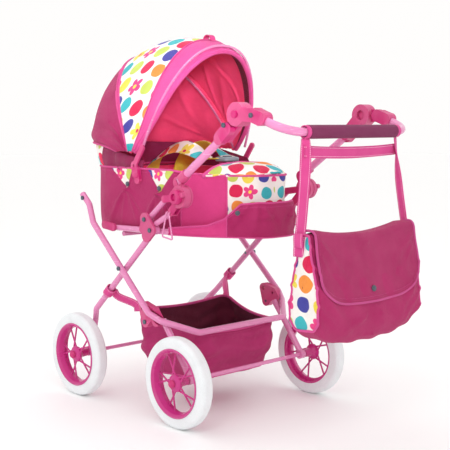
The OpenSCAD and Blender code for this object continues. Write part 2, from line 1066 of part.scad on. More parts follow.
// Plastic posts on the sides of the carrycot that carry the hood's bows
module hood_brackets() {
    color(HOT_PINK)
        placed()
            both_sides() {
                plate_y(cot_half_w + 0.3, bracket_in + 3)
                    bar_2d([164, 462], [168, 482], 8);
                difference() {
                    plate_y(bracket_in, bracket_in + 4.5) {
                        bar_2d([168, 474], hood_pivot, 9);
                        bar_2d(hood_pivot, [146, 526], 6);
                    }
                    pin_y(hood_pivot, pin_r, 0, wide);
                }
            }
}

// Half profile of an arch in (radius, width): an oval of half width a and height b
steps = 32;
arch_power = 2.2;
function arch(a, b, low) = [
    for (i = [0 : steps])
        let (t = 90 * (2 * i / steps - 1) * low)
            [b * pow(cos(t), 2 / arch_power), a * sign(sin(t)) * pow(abs(sin(t)), 2 / arch_power)]
];

// A shell swept about the hood pivot from angle a0 to a1, measured forward from upright
module arch_shell(a, b, t, a0, a1) {
    low = 0.96;
    translate([hood_pivot[0], 0, hood_pivot[1]])
        rotate([0, a1, 0])
            rotate([90, 0, 0])
                rotate([0, 0, 90])
                    rotate_extrude(angle = a1 - a0, $fn = 96)
                        difference() {
                            polygon(arch(a, b, low));
                            polygon(arch(a - t, b - t, 1));
                        }
}

// Fixed front panel of the hood
module hood_front_panel() {
    color(MAGENTA)
        placed()
            arch_shell(
                hood_half_w - inner_step, hood_height - inner_step,
                hood_wall, mid_angle, front_angle
            );
}

// Rim band and printed panel, which slide forward over the front panel
module hood_shell() {
    color(PRINT)
        placed()
            arch_shell(hood_half_w, hood_height, hood_wall, -rim_angle, mid_angle - 0.5);
}

// A flat bow that follows the arch
module bow(a, b, angle, t) {
    translate([hood_pivot[0], 0, hood_pivot[1]])
        rotate([0, angle, 0])
            rotate([90, 0, 90])
                linear_extrude(t, center = true)
                    difference() {
                        rotate(90)
                            polygon(arch(a, b, 0.93));
                        rotate(90)
                            polygon(arch(a - t, b - t, 1));
                    }
}

bow_t = 3.6;
mid_inset = 2 * inner_step + 0.6;
rim_inset = inner_step + 0.6;

module hood_bow_mid() {
    color(PALE_PINK)
        placed()
            bow(hood_half_w - mid_inset, hood_height - mid_inset, mid_angle, bow_t);
}

module hood_bow_rim() {
    color(PALE_PINK)
        placed()
            bow(hood_half_w - rim_inset, hood_height - rim_inset, -rim_angle + 1.5, bow_t);
}

// ---------------------------------------------------------------- drawing

tyre(front_axle_at, 1);  // tyre_front_left
tyre(front_axle_at, -1);  // tyre_front_right
tyre(rear_axle_at, 1);  // tyre_rear_left
tyre(rear_axle_at, -1);  // tyre_rear_right
rim(front_axle_at, 1);  // rim_front_left
rim(front_axle_at, -1);  // rim_front_right
rim(rear_axle_at, 1);  // rim_rear_left
rim(rear_axle_at, -1);  // rim_rear_right
axle(front_axle_at);  // front_axle
axle(rear_axle_at);  // rear_axle
axle_caps(front_axle_at);  // front_axle_caps
axle_caps(rear_axle_at);  // rear_axle_caps
front_leg(1);  // front_leg_left
front_leg(-1);  // front_leg_right
upper_brackets();
push_tubes();
hub_casting(1);  // hub_casting_left
hub_casting(-1);  // hub_casting_right
front_frame_bolts();
lock_ring(1);  // lock_ring_left
lock_ring(-1);  // lock_ring_right
hub_knob(1);  // hub_knob_left
hub_knob(-1);  // hub_knob_right
rear_frame_tube();
leg_stubs();
lower_bracket(1);  // lower_bracket_left
lower_bracket(-1);  // lower_bracket_right
rear_frame_bolts();
basket();
basket_straps();
handle_tube(1);  // handle_tube_left
handle_tube(-1);  // handle_tube_right
handle_hubs();
adjuster_lower(1);  // adjuster_lower_left
adjuster_lower(-1);  // adjuster_lower_right
adjuster_upper(1);  // adjuster_upper_left
adjuster_upper(-1);  // adjuster_upper_right
adjuster_button(1);  // adjuster_button_left
adjuster_button(-1);  // adjuster_button_right
handle_screws();
grip_screws();
grip_bar();
grip_foam();
bag_body();
bag_flap();
bag_straps();
seat_rail();
support_links();
carrycot_tub();
base_board();
mattress();
foot_cover();
rear_apron();
harness();
harness_buckle();
hood_brackets();
hood_front_panel();
hood_bow_mid();
hood_bow_rim();
hood_shell();
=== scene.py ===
import math

import bmesh
import bpy
import numpy as np
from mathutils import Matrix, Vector


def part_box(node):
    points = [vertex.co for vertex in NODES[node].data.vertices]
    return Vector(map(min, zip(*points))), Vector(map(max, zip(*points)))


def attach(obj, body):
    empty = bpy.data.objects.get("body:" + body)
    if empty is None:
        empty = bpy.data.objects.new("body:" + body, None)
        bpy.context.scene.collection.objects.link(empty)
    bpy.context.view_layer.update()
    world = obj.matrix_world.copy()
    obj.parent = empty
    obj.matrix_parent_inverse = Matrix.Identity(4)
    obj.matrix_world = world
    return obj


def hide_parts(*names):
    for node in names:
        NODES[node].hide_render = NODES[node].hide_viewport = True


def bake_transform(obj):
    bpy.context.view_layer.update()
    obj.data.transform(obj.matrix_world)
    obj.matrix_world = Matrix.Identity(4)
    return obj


# Doll stroller: the cloth, print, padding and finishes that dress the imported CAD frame.
#
# Points are written in side-view millimetres, as in the part's source: x forward from the
# rear axle to the hood, y to the stroller's left, z up from the floor. side() turns them
# into the row frame, in metres.

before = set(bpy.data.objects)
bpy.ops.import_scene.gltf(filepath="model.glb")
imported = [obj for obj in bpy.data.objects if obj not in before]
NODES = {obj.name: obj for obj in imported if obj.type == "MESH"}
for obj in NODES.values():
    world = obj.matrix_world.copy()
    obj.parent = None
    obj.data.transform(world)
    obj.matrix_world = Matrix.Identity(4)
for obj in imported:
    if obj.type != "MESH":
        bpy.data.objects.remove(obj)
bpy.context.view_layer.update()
AXLE_LOW, AXLE_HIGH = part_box("rear_axle")
AXLE_X = (AXLE_LOW[0] + AXLE_HIGH[0]) / 2
MM = 0.001


def side(points):
    """Side-view millimetres to row-frame metres."""
    p = np.asarray(points, float)
    return np.stack([AXLE_X - p[..., 0] * MM, -p[..., 1] * MM, p[..., 2] * MM], -1)


def point(x, y, z):
    return Vector(side([x, y, z]))


# ------------------------------------------------------------------ colours and shader nodes


def rgb(code, shade=1.0):
    """A hex sRGB colour as linear RGBA, made lighter or darker by shade."""
    parts = [int(code[i : i + 2], 16) / 255 for i in (1, 3, 5)]
    linear = [c / 12.92 if c <= 0.04045 else ((c + 0.055) / 1.055) ** 2.4 for c in parts]
    return (*[min(1.0, c * shade) for c in linear], 1.0)


HOT_PINK = "#CC1E72"
PALE_PINK = "#E286B8"
MAGENTA = "#B01A60"
BAND_PINK = "#E04C96"
STRAP_PINK = "#DE4690"
CORAL = "#FF4A80"
PAINTED_SHADE_COLOUR = "#6A1034"
# Dark maroon painted shade: the inner sides of the hood, bag and basket cloths and the strip just inside the
# hood's rim
RIM_PINK = "#CC2F86"
FOAM_WHITE = "#EEF2F4"
GRIP = "#7A1A50"
CRIMSON, INDIGO, ORANGE, TURQUOISE = "#E0154F", "#3E3F9E", "#F7923A", "#35B8C0"
LIME, YELLOW, PINK = "#C9DA5E", "#F5DE4E", "#EE3D87"


class Graph:
    """One material's nodes, built in few words."""

    def __init__(self, name):
        self.material = bpy.data.materials.new(name)
        self.material.use_nodes = True
        self.tree = self.material.node_tree
        self.shader = self.tree.nodes["Principled BSDF"]

    def put(self, socket, value):
        if isinstance(value, bpy.types.NodeSocket):
            self.tree.links.new(value, socket)
        else:
            socket.default_value = value

    def add(self, kind, inputs, **settings):
        node = self.tree.nodes.new("ShaderNode" + kind)
        for key, value in settings.items():
            setattr(node, key, value)
        for key, value in inputs.items():
            self.put(node.inputs[key], value)
        return node

    def calc(self, operation, a, b=0.0, c=0.0):
        return self.add("Math", {0: a, 1: b, 2: c}, operation=operation).outputs[0]

    def vector(self, operation, a, b=(0, 0, 0)):
        return self.add("VectorMath", {0: a, 1: b}, operation=operation).outputs[0]

    def mix(self, share, a, b, blend="MIX"):
        node = self.add("Mix", {0: share, 6: a, 7: b}, data_type="RGBA", blend_type=blend)
        return node.outputs[2]

    def noise(self, place, scale, detail=3.0, roughness=0.5):
        settings = {"Vector": place, "Scale": scale, "Detail": detail, "Roughness": roughness}
        return self.add("TexNoise", settings).outputs[0]

    def spread(self, value, low, high, to_low=0.0, to_high=1.0):
        inputs = {"Value": value, "From Min": low, "From Max": high, "To Min": to_low, "To Max": to_high}
        return self.add("MapRange", inputs).outputs[0]

    def split(self, place):
        return self.add("SeparateXYZ", {0: place}).outputs

    def join(self, x, y, z=0.0):
        return self.add("CombineXYZ", {0: x, 1: y, 2: z}).outputs[0]

    def place(self):
        return self.add("TexCoord", {}).outputs["Object"]

    def cloth_place(self):
        """The cloth's own flat coordinates, in metres."""
        return self.add("TexCoord", {}).outputs["UV"]

    def bump(self, height, distance, strength=1.0, under=None):
        inputs = {"Height": height, "Distance": distance, "Strength": strength}
        if under is not None:
            inputs["Normal"] = under
        return self.add("Bump", inputs).outputs[0]

    def finish(self, colour, roughness, normal=None, **sockets):
        self.put(self.shader.inputs["Base Color"], colour)
        self.put(self.shader.inputs["Roughness"], roughness)
        if normal is not None:
            self.put(self.shader.inputs["Normal"], normal)
        for key, value in sockets.items():
            self.put(self.shader.inputs[key.replace("_", " ")], value)
        return self.material


def weave(g, flat, pitch):
    """Height of a plain weave: threads of one pitch over and under each other."""
    u, v, _ = g.split(flat)
    turn = 2 * math.pi / pitch
    across = g.calc("SINE", g.calc("MULTIPLY", u, turn))
    along = g.calc("SINE", g.calc("MULTIPLY", v, turn))
    return g.calc("MULTIPLY", across, along)


def cloth_surface(g, colour, pitch=0.0011, creases=1.0):
    """Shades a cloth colour: threads, soft creases, faded high spots and a little fluff."""
    flat = g.cloth_place()
    solid = g.place()
    soft = g.noise(solid, 22, 4, 0.55)
    threads = g.noise(g.vector("MULTIPLY", flat, (900, 260, 1)), 1.0, 2)
    colour = g.mix(g.spread(soft, 0.35, 0.75, 0.0, 0.2), colour, (0.45, 0.25, 0.35, 1), "MULTIPLY")
    colour = g.mix(g.spread(threads, 0.3, 0.7, 0.0, 0.14), colour, (1, 1, 1, 1), "SOFT_LIGHT")
    fine = g.bump(weave(g, flat, pitch), 0.00025, 0.55)
    rough = g.bump(g.noise(solid, 75, 4, 0.6), 0.0011 * creases, 0.55, fine)
    normal = g.bump(soft, 0.006 * creases, 0.5, rough)
    roughness = g.spread(soft, 0.3, 0.7, 0.68, 0.86)
    return g.finish(
        colour, roughness, normal, Sheen_Weight=0.07, Sheen_Roughness=0.45, Sheen_Tint=(1, 0.75, 0.88, 1)
    )


def plain_cloth(name, code, pitch=0.0011, creases=1.0, shade=1.0):
    g = Graph(name)
    return cloth_surface(g, rgb(code, shade), pitch, creases)


# The print repeats every four motifs across and every four down
PRINT_ROWS = [
    [CRIMSON, ORANGE, YELLOW, TURQUOISE],
    [LIME, CRIMSON, INDIGO, ORANGE],
    [PINK, TURQUOISE, LIME, CRIMSON],
    [YELLOW, INDIGO, PINK, LIME],
]
FLOWERS = [(0, 2), (2, 0), (3, 2)]
MOTIF_PITCH = 0.0365


def steps_of(g, index, values):
    """Picks a value by a running index, as a ramp of flat steps."""
    ramp = g.add("ValToRGB", {0: index})
    bar = ramp.color_ramp
    bar.interpolation = "CONSTANT"
    bar.elements[0].position = 0.0
    bar.elements[0].color = values[0]
    bar.elements[1].position = 1 / len(values)
    bar.elements[1].color = values[1]
    for i, value in enumerate(values[2:], 2):
        bar.elements.new(i / len(values)).color = value
    return ramp.outputs[0]


def print_colour(g, flat, pitch=MOTIF_PITCH):
    """White cloth printed with blobs of seven colours and a few five-petalled flowers."""
    wobble = g.add("TexNoise", {"Vector": flat, "Scale": 38.0, "Detail": 1.0}).outputs[1]
    wobble = g.vector("MULTIPLY", g.vector("SUBTRACT", wobble, (0.5, 0.5, 0.5)), (0.006, 0.006, 0))
    u, v, _ = g.split(g.vector("ADD", flat, wobble))
    row_place = g.calc("DIVIDE", v, pitch)
    row = g.calc("FLOOR", row_place)
    shifted = g.calc("MULTIPLY_ADD", row, 0.16, g.calc("DIVIDE", u, pitch))
    column = g.calc("FLOOR", shifted)
    x = g.calc("SUBTRACT", g.calc("SUBTRACT", shifted, column), 0.5)
    y = g.calc("SUBTRACT", g.calc("SUBTRACT", row_place, row), 0.5)
    chance = g.add("TexWhiteNoise", {"Vector": g.join(column, row)}, noise_dimensions="2D").outputs
    jog = g.split(chance["Color"])
    x = g.calc("MULTIPLY_ADD", g.calc("SUBTRACT", jog[0], 0.5), 0.16, x)
    y = g.calc("MULTIPLY_ADD", g.calc("SUBTRACT", jog[1], 0.5), 0.16, y)
    far = g.calc("SQRT", g.calc("ADD", g.calc("MULTIPLY", x, x), g.calc("MULTIPLY", y, y)))
    spoke = g.calc("ARCTAN2", y, x)
    petal = g.calc("ABSOLUTE", g.calc("COSINE", g.calc("MULTIPLY", spoke, 2.5)))
    index = g.calc("FLOORED_MODULO", column, 4)
    index = g.calc("MULTIPLY_ADD", g.calc("FLOORED_MODULO", row, 4), 4, index)
    index = g.calc("DIVIDE", g.calc("ADD", index, 0.5), 16)
    ink = steps_of(g, index, [rgb(c) for line in PRINT_ROWS for c in line])
    is_flower = steps_of(
        g, index, [(1, 1, 1, 1) if (r, c) in FLOWERS else (0, 0, 0, 1) for r in range(4) for c in range(4)]
    )
    blob = g.spread(jog[2], 0, 1, 0.38, 0.44)
    bloom = g.calc("MULTIPLY_ADD", petal, 0.22, 0.25)
    reach = g.add("Mix", {0: is_flower, 2: blob, 3: bloom}, data_type="FLOAT").outputs[0]
    inked = g.spread(g.calc("SUBTRACT", reach, far), -0.012, 0.012)
    eye = g.calc("MULTIPLY", is_flower, g.spread(g.calc("SUBTRACT", 0.11, far), -0.01, 0.01))
    colour = g.mix(inked, rgb("#FBF7F1"), ink)
    return g.mix(eye, colour, steps_of(g, index, [rgb(CRIMSON)] * 8 + [rgb(YELLOW)] * 8))


def printed_cloth(name, creases=0.6, pitch=MOTIF_PITCH, shift=(0, 0, 0)):
    g = Graph(name)
    return cloth_surface(g, print_colour(g, g.vector("ADD", g.cloth_place(), shift), pitch), 0.0011, creases)


def strap_cloth(name, code, half_width):
    """Folded strap cloth with a line of stitches near each edge. Its flat y runs across it."""
    g = Graph(name)
    u, v, _ = g.split(g.cloth_place())
    from_edge = g.calc("SUBTRACT", half_width, g.calc("ABSOLUTE", v))
    line = g.calc("LESS_THAN", g.calc("ABSOLUTE", g.calc("SUBTRACT", from_edge, 0.0025)), 0.00045)
    dash = g.calc("LESS_THAN", g.calc("FLOORED_MODULO", u, 0.0032), 0.0022)
    stitch = g.calc("MULTIPLY", line, dash)
    flat_colour = g.mix(stitch, rgb(code), rgb("#FBC4DD"))
    cloth_surface(g, flat_colour, 0.0014, 0.5)
    return g.material


def soft_edges(g, radius=0.0008):
    """A small round on every edge of a moulded or metal part."""
    return g.add("Bevel", {"Radius": radius}, samples=4).outputs[0]


def moulded(name, code, roughness=0.36, grain=1.0):
    """Injection-moulded plastic: fine grain, soft edges worn paler, faint flow marks."""
    g = Graph(name)
    solid = g.place()
    flow = g.noise(solid, 30, 3)
    worn = g.spread(g.add("NewGeometry", {}).outputs["Pointiness"], 0.56, 0.68)
    colour = g.mix(g.spread(flow, 0.35, 0.7, 0.0, 0.22), rgb(code), rgb(code, 0.6))
    colour = g.mix(g.calc("MULTIPLY", worn, 0.2), colour, rgb("#FFC3DE"))
    normal = g.bump(g.noise(solid, 900, 2), 0.00012 * grain, 0.5, soft_edges(g))
    return g.finish(
        colour, g.spread(flow, 0.3, 0.7, roughness, roughness + 0.14), normal,
        Coat_Weight=0.1, Coat_Roughness=0.25, Subsurface_Weight=0.04, Subsurface_Radius=(0.004, 0.001, 0.002),
    )


def painted_tube(name, code):
    """Glossy paint on steel tube, with orange peel, small scuffs and dust."""
    g = Graph(name)
    solid = g.place()
    scuff = g.spread(g.noise(g.vector("MULTIPLY", solid, (60, 60, 420)), 1.0, 4), 0.62, 0.72)
    dust = g.noise(solid, 14, 3)
    colour = g.mix(g.spread(dust, 0.35, 0.75, 0.0, 0.2), rgb(code), rgb(code, 0.8))
    colour = g.mix(g.calc("MULTIPLY", scuff, 0.25), colour, rgb("#FFE7F2"))
    normal = g.bump(g.noise(solid, 260, 2), 0.00015, 0.35, soft_edges(g))
    roughness = g.spread(scuff, 0, 1, 0.24, 0.5)
    return g.finish(colour, roughness, normal, Coat_Weight=0.5, Coat_Roughness=0.08)


def foam(name, code, cell, roughness, dirt=0.0):
    """Closed-cell foam: a pebbled skin of fine cells, slightly scuffed where it rubs."""
    g = Graph(name)
    solid = g.place()
    cells = g.add("TexVoronoi", {"Vector": solid, "Scale": 1 / cell}).outputs["Distance"]
    patch = g.noise(solid, 26, 4)
    colour = g.mix(g.spread(cells, 0.1, 0.8, 0.0, 0.12), rgb(code), rgb(code, 0.6))
    colour = g.mix(g.spread(patch, 0.45, 0.8, 0.0, 0.18 + dirt), colour, rgb(code, 0.66))
    normal = g.bump(cells, 0.0006, 0.6, soft_edges(g, 0.0014))
    normal = g.bump(patch, 0.0012, 0.3, normal)
    return g.finish(colour, g.spread(patch, 0.3, 0.7, roughness, roughness + 0.12), normal)


def screw_metal(name):
    g = Graph(name)
    solid = g.place()
    brushed = g.noise(solid, 700, 3)
    colour = g.mix(g.spread(brushed, 0.3, 0.7), rgb("#3C4450"), rgb("#7C8794"))
    normal = g.bump(brushed, 0.0001, 0.4, soft_edges(g))
    return g.finish(colour, 0.38, normal, Metallic=0.85)


def hardboard(name):
    g = Graph(name)
    solid = g.place()
    fibre = g.noise(g.vector("MULTIPLY", solid, (40, 160, 40)), 1.0, 5)
    colour = g.mix(fibre, rgb("#8A6A42"), rgb("#B9996A"))
    return g.finish(colour, 0.8, g.bump(fibre, 0.0005, 0.5, soft_edges(g)))


MAT = {
    "magenta": plain_cloth("magenta_cloth", MAGENTA),
    "band": plain_cloth("band_cloth", BAND_PINK, creases=0.6),
    "pink": plain_cloth("pink_cloth", "#DC3A84", creases=0.8),
    "coral": plain_cloth("coral_lining", CORAL, creases=1.2),
    # painted shade: a dark maroon cloth on inner faces and just inside the hood's rim, in place of the pink
    # cloth in shadow
    "painted_shade": plain_cloth("painted_shade_cloth", PAINTED_SHADE_COLOUR),
    "piping": plain_cloth("piping_cloth", "#DF4C94", pitch=0.0008, creases=0.3),
    "yellow": plain_cloth("yellow_lining", "#E8D23C"),
    "basket": plain_cloth("basket_cloth", "#B32468", creases=1.3),
    "print": printed_cloth("printed_cloth", pitch=0.040),
    "strap": strap_cloth("strap_cloth", STRAP_PINK, 0.010),
    "plastic": moulded("hot_pink_plastic", HOT_PINK),
    "rim": moulded("rim_plastic", RIM_PINK, 0.24, 0.5),
    "paint": painted_tube("pale_pink_paint", PALE_PINK),
    "tyre": foam("tyre_foam", FOAM_WHITE, 0.0022, 0.62, 0.1),
    "grip": foam("grip_foam", GRIP, 0.0014, 0.6),
    "buckle": moulded("grey_plastic", "#8A949C", 0.5),
    "snap": moulded("dark_snap", "#4B5560", 0.35),
    "screw": screw_metal("screw_metal"),
    "board": hardboard("hardboard"),
    "pad_print": printed_cloth("harness_printed_cloth", 0.4, 0.034, (0.0, 0.007, 0)),
    "stitch": plain_cloth("stitching_thread", "#D8559A", 0.0006, 0.2),
    "collar": plain_cloth("collar_cloth", "#8E184E"),
    "flap": plain_cloth("flap_cloth", "#AC205F", creases=0.7),
    "flap_edge": plain_cloth("flap_binding", "#CC4A8C", 0.0008, 0.3),
    "gusset": printed_cloth("bag_gusset_cloth", 0.4, 0.036, (0.004, 0.0, 0)),
}

# ------------------------------------------------------------------ mesh building


def unit(v):
    return v / np.maximum(np.linalg.norm(v, axis=-1, keepdims=True), 1e-12)


def smooth(t):
    t = np.clip(t, 0, 1)
    return t * t * (3 - 2 * t)


def bump(x, at, width):
    """A smooth rise of height 1 at one place."""
    return np.exp(-(((x - at) / width) ** 2))


def travel(p):
    """Distance from the first point of a line to each of its points."""
    return np.concatenate([[0], np.cumsum(np.linalg.norm(np.diff(p, axis=0), axis=1))])


def grid_normals(p):
    return unit(np.cross(np.gradient(p, axis=1), np.gradient(p, axis=0)))


def pushed(p, amount, centre):
    """Moves a grid of points out from a centre along its own normals, by amount millimetres."""
    normal = grid_normals(p)
    outward = np.sign((normal * (p - np.asarray(centre, float))).sum(-1).mean()) or 1.0
    return p + normal * outward * np.asarray(amount)[..., None]


def lengths(p):
    """The cloth's flat coordinates: metres along each row from its middle, and down each column."""
    across = np.zeros(p.shape[:2])
    down = np.zeros(p.shape[:2])
    across[:, 1:] = np.cumsum(np.linalg.norm(np.diff(p, axis=1), axis=-1), axis=1)
    down[1:] = np.cumsum(np.linalg.norm(np.diff(p, axis=0), axis=-1), axis=0)
    across -= across[:, p.shape[1] // 2][:, None]
    return np.stack([across, down], -1)


def make_piece(name, verts, faces, finishes, loops=None, picks=None, weld=False):
    """A smooth-shaded mesh object. loops holds a flat coordinate for each face corner in turn."""
    mesh = bpy.data.meshes.new(name)
    mesh.from_pydata([tuple(v) for v in verts], [], faces)
    for finish in finishes:
        mesh.materials.append(finish)
    if loops is not None:
        layer = mesh.uv_layers.new(name="flat")
        layer.data.foreach_set("uv", np.asarray(loops, np.float32).ravel())
    if picks is not None:
        mesh.polygons.foreach_set("material_index", np.asarray(picks, np.int32))
    work = bmesh.new()
    work.from_mesh(mesh)
    if weld:
        bmesh.ops.remove_doubles(work, verts=work.verts, dist=0.00002)
    bmesh.ops.recalc_face_normals(work, faces=work.faces)
    work.to_mesh(mesh)
    work.free()
    mesh.polygons.foreach_set("use_smooth", np.ones(len(mesh.polygons), bool))
    piece = bpy.data.objects.new(name, mesh)
    bpy.context.scene.collection.objects.link(piece)
    return piece


def cloth_sheet(name, points, finishes, thick=1.2, picks=0, inside=0, flat=None, centre=None, weld=False):
    """A sheet of cloth with two sides, from a grid of side-view points in millimetres.
    picks is the finish of the outer faces, and inside the finish of the inner ones."""
    p = side(points)
    rows, columns = p.shape[:2]
    centre = p.reshape(-1, 3).mean(0) if centre is None else side(centre)
    normal = grid_normals(p)
    if (normal * (p - centre)).sum(-1).mean() < 0:
        normal = -normal
    flat = lengths(p) if flat is None else np.asarray(flat, float)
    verts = np.concatenate([p.reshape(-1, 3), (p - normal * thick * MM).reshape(-1, 3)])
    flats = np.concatenate([flat.reshape(-1, 2), flat.reshape(-1, 2)])
    at = np.arange(rows * columns).reshape(rows, columns)
    outer = np.stack([at[:-1, :-1], at[:-1, 1:], at[1:, 1:], at[1:, :-1]], -1).reshape(-1, 4)
    inner = outer[:, ::-1] + rows * columns
    edge = np.concatenate([at[0], at[1:, -1], at[-1, ::-1][1:], at[::-1, 0][1:]])
    hem = np.stack([edge[:-1], edge[1:], edge[1:] + rows * columns, edge[:-1] + rows * columns], -1)
    faces = np.concatenate([outer, inner, hem])
    chosen = np.broadcast_to(np.asarray(picks), (rows - 1, columns - 1)).ravel()
    hidden = np.broadcast_to(np.asarray(inside), (rows - 1, columns - 1)).ravel()
    picks = np.concatenate([chosen, hidden, np.full(len(hem), hidden[0])])
    return make_piece(name, verts, faces.tolist(), finishes, flats[faces.ravel()], picks, weld)


def loft(name, rings, finish, flat, caps=True):
    """A closed skin through rings of points in metres. flat has one more column than a ring."""
    rings = np.asarray(rings, float)
    count, around = rings.shape[:2]
    verts = rings.reshape(-1, 3)
    faces, corners = [], []
    for i in range(count - 1):
        for k in range(around):
            n = (k + 1) % around
            faces.append([i * around + k, i * around + n, (i + 1) * around + n, (i + 1) * around + k])
            corners += [flat[i][k], flat[i][k + 1], flat[i + 1][k + 1], flat[i + 1][k]]
    if caps:
        for i, order in ((0, -1), (count - 1, 1)):
            ring = [i * around + k for k in range(around)][::order]
            faces.append(ring)
            corners += [flat[i][k] for k in range(around)][::order]
    return make_piece(name, verts, faces, [finish], corners)


def transported(p, start=(0.31, 0.2, 0.93), closed=False):
    """Tangents and two cross directions along a line, without twist."""
    if closed:
        tangent = unit(np.roll(p, -1, 0) - np.roll(p, 1, 0))
    else:
        tangent = unit(np.gradient(p, axis=0))
    a = np.zeros_like(p)
    v = np.asarray(start, float)
    for i, t in enumerate(tangent):
        v = unit(v - t * (v @ t))
        a[i] = v
    if closed:
        t = tangent[0]
        end = unit(a[-1] - t * (a[-1] @ t))
        slip = math.atan2(np.cross(a[0], end) @ t, a[0] @ end)
        turn = -slip * np.arange(len(p)) / len(p)
        b = np.cross(tangent, a)
        a = a * np.cos(turn)[:, None] + b * np.sin(turn)[:, None]
    return tangent, a, np.cross(tangent, a)


def tube(name, points, radius, finish, sides=12, closed=False):
    """A round cord, piping or rolled edge along side-view points, with domed ends."""
    p = side(points)
    radius = np.broadcast_to(np.asarray(radius, float) * MM, (len(p),)).copy()
    tangent, a, b = transported(p, closed=closed)
    if closed:
        p, a, b, radius = (np.concatenate([q, q[:1]]) for q in (p, a, b, radius))
    else:
        dome = np.array([0.97, 0.8, 0.45])
        rise = np.array([0.25, 0.6, 0.9])
        first, last = radius[0], radius[-1]
        p = np.concatenate([
            p[0] - tangent[0] * (rise * first)[::-1, None], p, p[-1] + tangent[-1] * (rise * last)[:, None]
        ])
        radius = np.concatenate([first * dome[::-1], radius, last * dome])
        a = np.concatenate([[a[0]] * 3, a, [a[-1]] * 3])
        b = np.concatenate([[b[0]] * 3, b, [b[-1]] * 3])
    turn = np.arange(sides) * 2 * math.pi / sides
    rings = p[:, None] + radius[:, None, None] * (
        a[:, None] * np.cos(turn)[None, :, None] + b[:, None] * np.sin(turn)[None, :, None]
    )
    along = travel(p)
    wrap = np.linspace(0, 1, sides + 1)[None, :] * 2 * math.pi * radius.mean()
    shape = (len(p), sides + 1)
    flat = np.stack([np.broadcast_to(along[:, None], shape), np.broadcast_to(wrap, shape)], -1)
    piece = loft(name, rings, finish, flat, caps=not closed)
    if closed:
        work = bmesh.new()
        work.from_mesh(piece.data)
        bmesh.ops.remove_doubles(work, verts=work.verts, dist=0.00005)
        work.to_mesh(piece.data)
        work.free()
    return piece


def strap(name, points, across, width, thick, finish, crown=0.0):
    """Flat webbing along side-view points. across says which way its width lies, as side-view
    vectors, and crown arches its middle."""
    p = side(points)
    w = unit(np.broadcast_to(np.asarray(across, float), (len(p), 3)) * [-1, -1, 1])
    tangent = unit(np.gradient(p, axis=0))
    w = unit(w - tangent * (w * tangent).sum(-1, keepdims=True))
    up = np.cross(tangent, w)
    half = np.broadcast_to(np.asarray(width, float) * MM / 2, (len(p),))
    t = thick * MM / 2
    share = np.array([-1, -0.97, -0.7, -0.35, 0, 0.35, 0.7, 0.97, 1])
    top = [(s, t * (0 if abs(s) == 1 else 1) + crown * MM * (1 - s * s)) for s in share]
    bottom = [(s, -t + crown * MM * (1 - s * s)) for s in share[-2:0:-1]]
    shape = np.array(top + bottom)
    rings = (
        p[:, None] + w[:, None] * (half[:, None] * shape[None, :, 0])[..., None]
        + up[:, None] * shape[None, :, 1, None]
    )
    along = travel(p)
    ys = half[:, None] * np.append(shape[:, 0], shape[0, 0])[None]
    flat = np.stack([np.broadcast_to(along[:, None], ys.shape), ys], -1)
    return loft(name, rings, finish, flat)


def resample(points, step):
    """Points along a line, a step apart."""
    p = np.asarray(points, float)
    along = travel(p)
    count = max(2, int(along[-1] / step))
    places = np.linspace(0, along[-1], count)
    return np.stack([np.interp(places, along, p[:, i]) for i in range(3)], -1)


def curve_through(points, count=60):
    """A smooth line through a few points (Catmull-Rom), evenly spaced."""
    p = np.asarray(points, float)
    p = np.concatenate([[2 * p[0] - p[1]], p, [2 * p[-1] - p[-2]]])
    out = []
    for i in range(1, len(p) - 2):
        for t in np.linspace(0, 1, 24, endpoint=False):
            a, b, c, d = p[i - 1 : i + 3]
            middle = (2 * a - 5 * b + 4 * c - d) * t**2
            out.append(0.5 * (2 * b + (c - a) * t + middle + (3 * b - a - 3 * c + d) * t**3))
    out.append(p[-2])
    out = np.array(out)
    return resample(out, np.linalg.norm(np.diff(out, axis=0), axis=1).sum() / count)


def stitches(name, points, outward, finish, gap=3.4, size=2.3):
    """A row of sewn stitches standing just proud of the cloth, as one mesh."""
    line = resample(points, gap)
    p = side(line)
    tangent = unit(np.gradient(p, axis=0))
    up = unit(np.broadcast_to(np.asarray(outward, float), p.shape) * [-1, -1, 1])
    across = unit(np.cross(tangent, up))
    up = np.cross(across, tangent)
    verts, faces = [], []
    long, wide, high = size * MM / 2, 0.32 * MM, 0.3 * MM
    for at, t, a, u in zip(p, tangent, across, up):
        base = len(verts)
        verts.append(at - t * long)
        for share in (-0.55, 0.55):
            for k in range(4):
                turn = math.pi / 2 * k
                verts.append(at + t * long * share + a * wide * math.cos(turn) + u * high * math.sin(turn))
        verts.append(at + t * long)
        for k in range(4):
            n = (k + 1) % 4
            faces.append([base, base + 1 + k, base + 1 + n])
            faces.append([base + 1 + k, base + 5 + k, base + 5 + n, base + 1 + n])
            faces.append([base + 5 + k, base + 9, base + 5 + n])
    return make_piece(name, verts, faces, [finish])


def fold(u, v, start, end, width, height):
    """Height of one soft fold that runs from start to end on a cloth's flat coordinates."""
    a, b = np.asarray(start, float), np.asarray(end, float)
    d = b - a
    t = np.clip(((u - a[0]) * d[0] + (v - a[1]) * d[1]) / (d @ d), 0, 1)
    away = np.hypot(u - a[0] - t * d[0], v - a[1] - t * d[1])
    return height * np.exp(-((away / (width * (0.45 + 0.9 * t))) ** 2)) * (1 - t) ** 0.6


def add_folds(u, v, folds):
    """The heights of several folds together. Each has a start, an end, a width and a height."""
    return sum(fold(u, v, *one) for one in folds)


